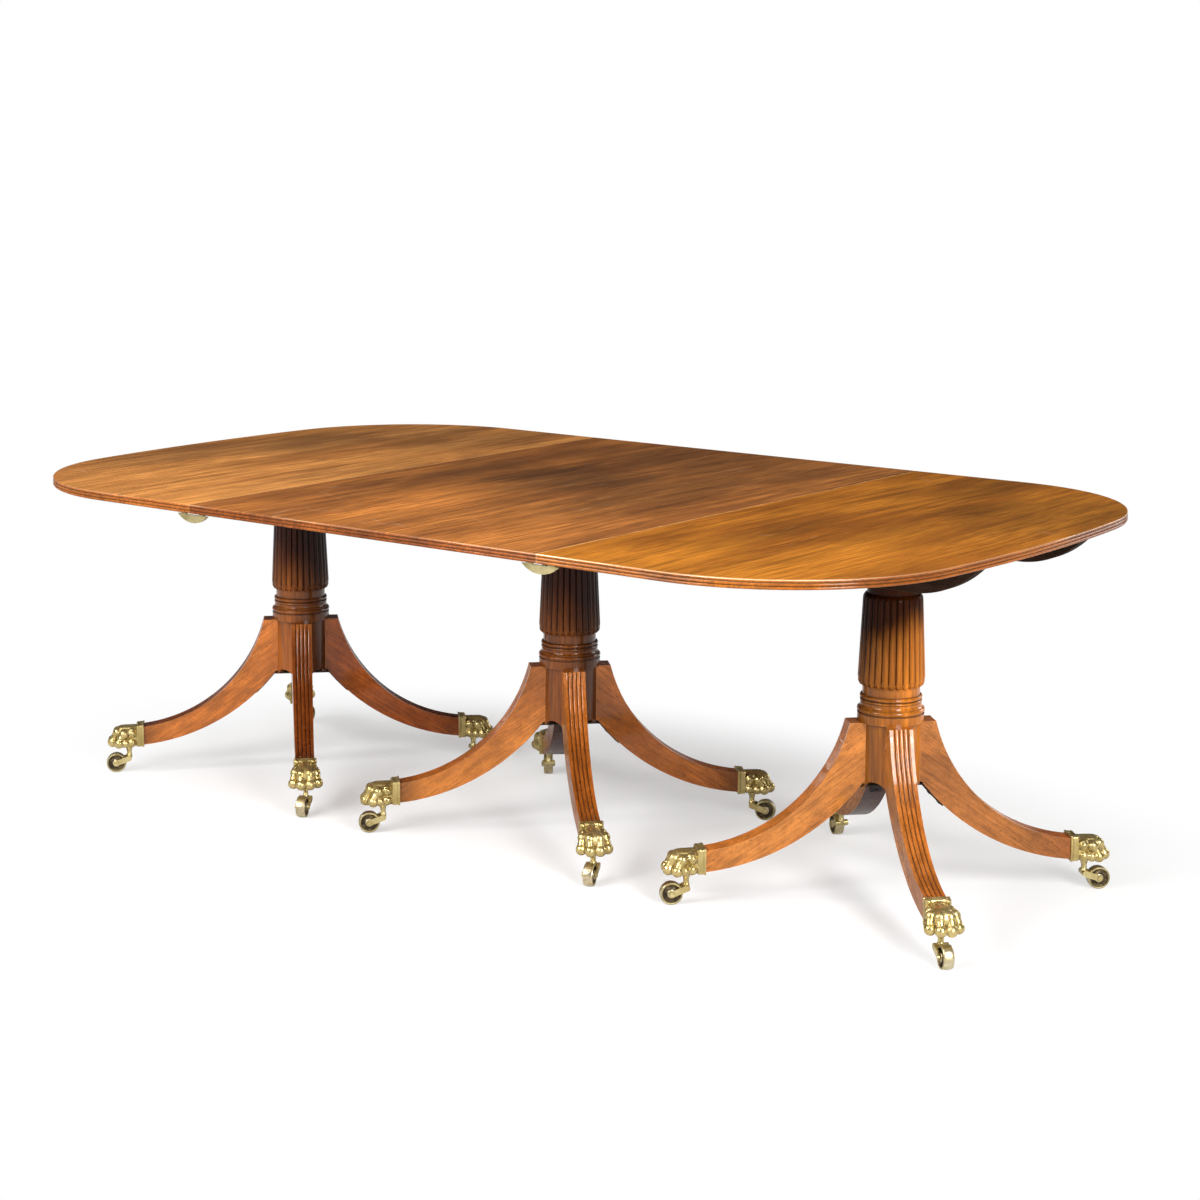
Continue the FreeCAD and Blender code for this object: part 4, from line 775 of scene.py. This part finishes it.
def makeWheelFinish(name):
    look = wheelFinish[name]
    material, tree, place = newMaterial(name)
    height = tone = noiseOf(tree, place, *look["tone"])["Fac"]
    shown = blendOf(tree, rangeOf(tree, tone, *look["toneSpan"]), look["most"], look["some"])
    if "dents" in look:  # only the treads meet the floor
        worn = stretchOf(tree, place, look["wearScale"])
        dents = placeGroup(tree, marksOfUse, Vector=worn, Seed=look["seed"], Amount=look["wear"])["Dents"]
        shown, height = layOver(tree, shown, dents, look["dents"]), minus(tree, tone, dents)
    setShader(tree, look, shown, rangeOf(tree, tone, *look["roughness"]), height)
    return material


wheelFinishes = makeWheelFinish("wornTread"), makeWheelFinish("blackenedBrass"), dullShadedBrass


def turnWheel(spin):
    name = spin["child"]
    middle, axle = Vector(spin["pos_m"]), Vector(spin["axis"]).normalized()
    ahead = axle.cross(Vector((0, 0, 1))).normalized()
    up = ahead.cross(axle)
    half = list(wheel["outline"])
    outline = half + [(radius, -along) for radius, along in reversed(half[:-1])]
    count, facets = len(outline), wheel["facets"]
    points, faces, finishes = [], [], []
    for turn in range(facets):
        angle = 2 * math.pi * turn / facets
        out = ahead * math.cos(angle) + up * math.sin(angle)
        points += [middle + out * (radius / 1000) + axle * (along / 1000) for radius, along in outline]
        here, there = turn * count, (turn + 1) % facets * count
        for span in range(count):
            after = (span + 1) % count
            faces.append((here + span, here + after, there + after, there + span))
            near = min(span, count - 2 - span)  # the same span on the wheel's first side
            finishes.append(1 if near in wheel["dark"] else 2 if near in wheel["dull"] else 0)
    mesh = bpy.data.meshes.new(name + "Turned")
    mesh.from_pydata(points, [], faces)
    for material in wheelFinishes:
        mesh.materials.append(material)
    mesh.polygons.foreach_set("material_index", finishes)
    mesh.polygons.foreach_set("use_smooth", [True] * len(faces))
    mesh.update()
    shape = bmesh.new()
    shape.from_mesh(mesh)
    bmesh.ops.recalc_face_normals(shape, faces=shape.faces)
    shape.to_mesh(mesh)
    shape.free()
    piece = standObject(name + "Turned", mesh)
    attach(piece, name)
    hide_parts(name)


spins = [joint for joint in frame["joints"] if joint["name"].endswith("_spin")]
for joint in spins:
    turnWheel(joint)
print("castor wheels turned:", len(spins))


# small pieces set on spots: each spot is a place and the way that it faces

def facingTurn(tree, axis):  # turns a piece so that its axis points the way its spot faces
    facing = addNode(tree, "GeometryNodeInputNamedAttribute", {"Name": "facing"}, data_type="FLOAT_VECTOR")
    inputs = {"Vector": facing.outputs["Attribute"]}
    return addNode(tree, "FunctionNodeAlignRotationToVector", inputs, axis=axis).outputs[0]


def setOnSpots(tree, given, made, **inputs):
    spread = addNode(tree, "GeometryNodeInstanceOnPoints", {"Points": given["Points"], **inputs})
    real = addNode(tree, "GeometryNodeRealizeInstances", {0: spread.outputs[0]})
    inputs = {"Geometry": real.outputs[0], "Material": given["Finish"]}
    feed(tree, made["Pieces"], addNode(tree, "GeometryNodeSetMaterial", inputs).outputs[0])


def spreadOver(name, body, tree, wanted, places):
    mesh = bpy.data.meshes.new(name + "Spots")
    mesh.from_pydata([place for place, face in places], [], [])
    facing = mesh.attributes.new("facing", "FLOAT_VECTOR", "POINT")
    facing.data.foreach_set("vector", [part for place, face in places for part in face.normalized()])
    spots = standObject(name + "Spots", mesh)
    modifier = spots.modifiers.new(tree.name, "NODES")
    modifier.node_group = tree
    for item in tree.interface.items_tree:
        if item.in_out == "INPUT" and item.name in wanted:
            modifier[item.identifier] = wanted[item.name]
    solid = bpy.data.meshes.new_from_object(spots.evaluated_get(bpy.context.evaluated_depsgraph_get()))
    bpy.data.objects.remove(spots)
    piece = standObject(name, solid)
    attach(piece, body)
    return len(places)


# slotted screws in the straps, bearers and catch cases

screws = {
    "sizes": {"Head Radius": 0.0042, "Head Height": 0.0013, "Slot Width": 0.0011, "Slot Depth": 0.0009, "Seed": 11},
    "facets": 24, "slotReach": 2.5,
    "strapReach": (0.03, 0.078, 0.098),  # out from the pedestal's axis
    "strapCurve": (0.4006, 0.4985, 0.4371),  # middle and radius of the strap's lower face
    "strapFlat": 0.222, "flatTo": 0.05,  # height and reach of the cross's flat middle
    "bearerShare": (0.3, 0.5, 0.7), "bearerAcross": 0.2, "caseInset": 0.0055,
}


def makeScrewTree():
    tree, given, made = newGroup(
        "slottedScrews",
        {"Points": "Geometry", **dict.fromkeys(screws["sizes"], "Float"), "Seed": "Int", "Finish": "Material"},
        {"Pieces": "Geometry"}, "GeometryNodeTree")
    radius, height = given["Head Radius"], given["Head Height"]
    head = addNode(tree, "GeometryNodeMeshCylinder", {
        "Vertices": screws["facets"], "Radius": radius, "Depth": times(tree, height, 2.0)})
    size = vectorFrom(tree, times(tree, radius, screws["slotReach"]), given["Slot Width"],
                      times(tree, given["Slot Depth"], 2.0))
    bar = addNode(tree, "GeometryNodeMeshCube", {"Size": size})
    raised = addNode(tree, "GeometryNodeTransform", {
        "Geometry": bar.outputs["Mesh"], "Translation": vectorFrom(tree, 0.0, 0.0, height)})
    cut = addNode(tree, "GeometryNodeMeshBoolean", operation="DIFFERENCE", solver="EXACT")
    feed(tree, cut.inputs["Mesh 1"], head.outputs["Mesh"])
    feed(tree, cut.inputs["Mesh 2"], raised.outputs["Geometry"])
    chance = addNode(tree, "FunctionNodeRandomValue", {"Max": math.pi, "Seed": given["Seed"]}, data_type="FLOAT")
    turn = addNode(tree, "FunctionNodeAxisAngleToRotation", {"Angle": chance.outputs[1]})
    turned = addNode(tree, "FunctionNodeRotateRotation", {0: facingTurn(tree, "Z"), 1: turn.outputs[0]},
                     rotation_space="LOCAL")
    setOnSpots(tree, given, made, Instance=cut.outputs["Mesh"], Rotation=turned.outputs[0])
    return tree


def strapScrews(side):
    acrossTo, upTo, radius = screws["strapCurve"]
    places = []
    for angle in corners.values():
        way = Vector((*wayOf(angle), 0))
        for reach in screws["strapReach"]:
            if reach < screws["flatTo"]:
                up, face = screws["strapFlat"], Vector((0, 0, -1))
            else:
                drop = math.sqrt(radius ** 2 - (acrossTo - reach) ** 2)
                up, face = upTo - drop, way * (reach - acrossTo) / radius + Vector((0, 0, -drop / radius))
            places.append((Vector((sides[side], 0, up)) + way * reach, face))
    return places


def boardScrews(side):
    places, down = [], Vector((0, 0, -1))
    low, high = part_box(side + "_bearers")
    for share in screws["bearerShare"]:
        for y in (-screws["bearerAcross"], screws["bearerAcross"]):
            places.append((Vector((low[0] + (high[0] - low[0]) * share, y, low[2])), down))
    low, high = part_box(side + "_catch_case")
    inset = screws["caseInset"]
    for x in (low[0] + inset, high[0] - inset):
        for y in (low[1] + inset, high[1] - inset):
            places.append((Vector((x, y, low[2])), down))
    return places


screwTree = makeScrewTree()
screwSizes = {**screws["sizes"], "Finish": blackIron}
frameSpots = [spot for side in sides for spot in strapScrews(side)] + boardScrews("centre")
driven = spreadOver("frameScrews", "frame", screwTree, screwSizes, frameSpots)
for side in ("left", "right"):
    spots = boardScrews(side)
    driven += spreadOver(side + "BoardScrews", side + "_board", screwTree, screwSizes, spots)
print("screws driven:", driven)


# rounded ends of the reeds, carved round the foot of each vase

reedEnds = {
    "count": 28, "out": 0.0575, "up": 0.4293,  # a reed's end stands midway between two grooves
    "sizes": {"Half Depth": 0.006, "Half Width": 0.006, "Half Height": 0.0095}, "segments": 24, "rings": 14,
}


def makeReedEndTree():
    tree, given, made = newGroup(
        "reedEnds",
        {"Points": "Geometry", **dict.fromkeys(reedEnds["sizes"], "Float"), "Finish": "Material"},
        {"Pieces": "Geometry"}, "GeometryNodeTree")
    ball = addNode(tree, "GeometryNodeMeshUVSphere", {
        "Segments": reedEnds["segments"], "Rings": reedEnds["rings"], "Radius": 1.0})
    smooth = addNode(tree, "GeometryNodeSetShadeSmooth", {"Geometry": ball.outputs["Mesh"]})
    size = vectorFrom(tree, given["Half Depth"], given["Half Width"], given["Half Height"])
    setOnSpots(tree, given, made, Instance=smooth.outputs[0], Rotation=facingTurn(tree, "X"), Scale=size)
    return tree


def reedEndSpots(side):
    places = []
    for reed in range(reedEnds["count"]):
        angle = (reed + 0.5) * 2 * math.pi / reedEnds["count"]
        way = Vector((math.cos(angle), math.sin(angle), 0))
        places.append((Vector((sides[side], 0, reedEnds["up"])) + way * reedEnds["out"], way))
    return places


reedEndTree = makeReedEndTree()
carved = 0
for side in sides:
    endSizes = {**reedEnds["sizes"], "Finish": columnPolish[side]}
    carved += spreadOver(side + "ReedEnds", "frame", reedEndTree, endSizes, reedEndSpots(side))
print("reeds' ends carved:", carved)


# floor, light and camera

studio = {
    "floorSize": 40.0, "floorColour": (0.6, 0.6, 0.6), "floorLift": 0.42, "clearSpan": (0.5, 1.0),
    "clearShape": (0.6, 1.0, 1.0), "clearShift": (0.0, -0.08, 0.0), "fill": 0.12, "room": (0.06, 0.06, 0.06),
    "horizon": 0.08, "white": (1, 1, 1),
}


def seenRays(tree):
    path = addNode(tree, "ShaderNodeLightPath").outputs
    return path, mathOf(tree, "ADD", path["Is Camera Ray"], path["Is Transmission Ray"], clamp=True)


def mixShaders(tree, factor, first, second):
    inputs = {0: factor, 1: first.outputs[0], 2: second.outputs[0]}
    return addNode(tree, "ShaderNodeMixShader", inputs)


def makeFloor():
    half = studio["floorSize"] / 2
    mesh = bpy.data.meshes.new("studioFloor")
    mesh.from_pydata([(-half, -half, 0), (half, -half, 0), (half, half, 0), (-half, half, 0)], [], [(0, 1, 2, 3)])
    material, tree, place = newMaterial("paleFloor")
    tree.nodes.remove(tree.nodes["Principled BSDF"])
    away = vectorOf(tree, "LENGTH", stretchOf(tree, place, studio["clearShape"], shift=studio["clearShift"]))
    clear = rangeOf(tree, away, *studio["clearSpan"])
    path, seen = seenRays(tree)
    mirrored = mathOf(tree, "ADD", seen, path["Is Glossy Ray"], clamp=True)
    paper = addNode(tree, "ShaderNodeBsdfDiffuse", {"Color": studio["floorColour"]})
    lift = addNode(tree, "ShaderNodeEmission", {"Strength": times(tree, seen, studio["floorLift"])})
    lit = addNode(tree, "ShaderNodeAddShader", {0: paper.outputs[0], 1: lift.outputs[0]})
    white = addNode(tree, "ShaderNodeEmission")
    mixed = mixShaders(tree, times(tree, mirrored, clear), lit, white)
    feed(tree, tree.nodes["Material Output"].inputs["Surface"], mixed.outputs[0])
    mesh.materials.append(material)
    floor = standObject("studioFloor", mesh)


def makeWorld():
    world = bpy.data.worlds.new("studioRoom")
    bpy.context.scene.world = world
    world.use_nodes = True
    tree = world.node_tree
    path, seen = seenRays(tree)
    up = axesOf(tree, addNode(tree, "ShaderNodeTexCoord").outputs["Generated"])["Z"]
    high = rangeOf(tree, up, 0.0, studio["horizon"])
    sweep = blendOf(tree, high, studio["white"], studio["room"])
    mirrored = addNode(tree, "ShaderNodeBackground", {"Color": sweep})  # what polish and brass reflect
    fill = addNode(tree, "ShaderNodeBackground", {"Color": studio["white"], "Strength": studio["fill"]})
    white = addNode(tree, "ShaderNodeBackground", {"Color": studio["white"]})
    room = mixShaders(tree, path["Is Glossy Ray"], fill, mirrored)
    mixed = mixShaders(tree, seen, room, white)
    feed(tree, tree.nodes["World Output"].inputs["Surface"], mixed.outputs[0])


lamps = {
    # where each stands, what it points at, its size and its power
    "overheadSoftbox": ((-0.1, -1.5, 2.9), (0.0, -0.2, 0.7), (3.2, 1.2), 48),
    "frontSoftbox": ((-0.4, -3.0, 1.8), (-0.6, 0.0, 0.25), (1.8, 0.8), 85),
    "leftSoftbox": ((-2.4, -3.4, 3.0), (0.6, -0.2, 0.2), (0.7, 1.0), 60),
    "rightSoftbox": ((3.5, -1.42, 2.15), (0.9, -0.1, 0.28), (0.9, 1.7), 105),
    "rearSoftbox": ((1.9, 4.2, 1.7), (0.0, 0.0, 0.4), (2.0, 1.2), 40),
    "sideSoftbox": ((4.6, -2.4, 1.5), (0.4, 0.0, 0.4), (1.4, 1.0), 80),
}


def makeLamp(name, at, to, size, power):
    light = bpy.data.lights.new(name, "AREA")
    light.shape = "RECTANGLE"
    light.size, light.size_y = size
    light.energy = power
    lamp = standObject(name, light)
    lamp.location = at
    lamp.rotation_euler = (Vector(to) - Vector(at)).to_track_quat("-Z", "Y").to_euler()


cameraLook = {
    "at": (3.1881, -4.0623, 1.5063), "right": (0.79419, 0.60766, 0.00422), "up": (-0.09611, 0.11875, 0.98826),
    "forward": (-0.60003, 0.78527, -0.15271), "lens": 75.512, "sensor": 36.0, "shift": (-0.0018, -0.0876),
}


def makeCamera():
    data = bpy.data.cameras.new("photoCamera")
    data.sensor_width = cameraLook["sensor"]
    data.lens = cameraLook["lens"]
    data.shift_x, data.shift_y = cameraLook["shift"]
    camera = standObject("photoCamera", data)
    right, up, forward = (Vector(cameraLook[way]).normalized() for way in ("right", "up", "forward"))
    turn = Matrix((right, up, -forward)).transposed().to_4x4()
    camera.matrix_world = Matrix.Translation(cameraLook["at"]) @ turn
    bpy.context.scene.camera = camera


makeFloor()
makeWorld()
for name, lamp in lamps.items():
    makeLamp(name, *lamp)
makeCamera()
bpy.context.scene.view_settings.view_transform = "Standard"
print("floor, light and camera set")
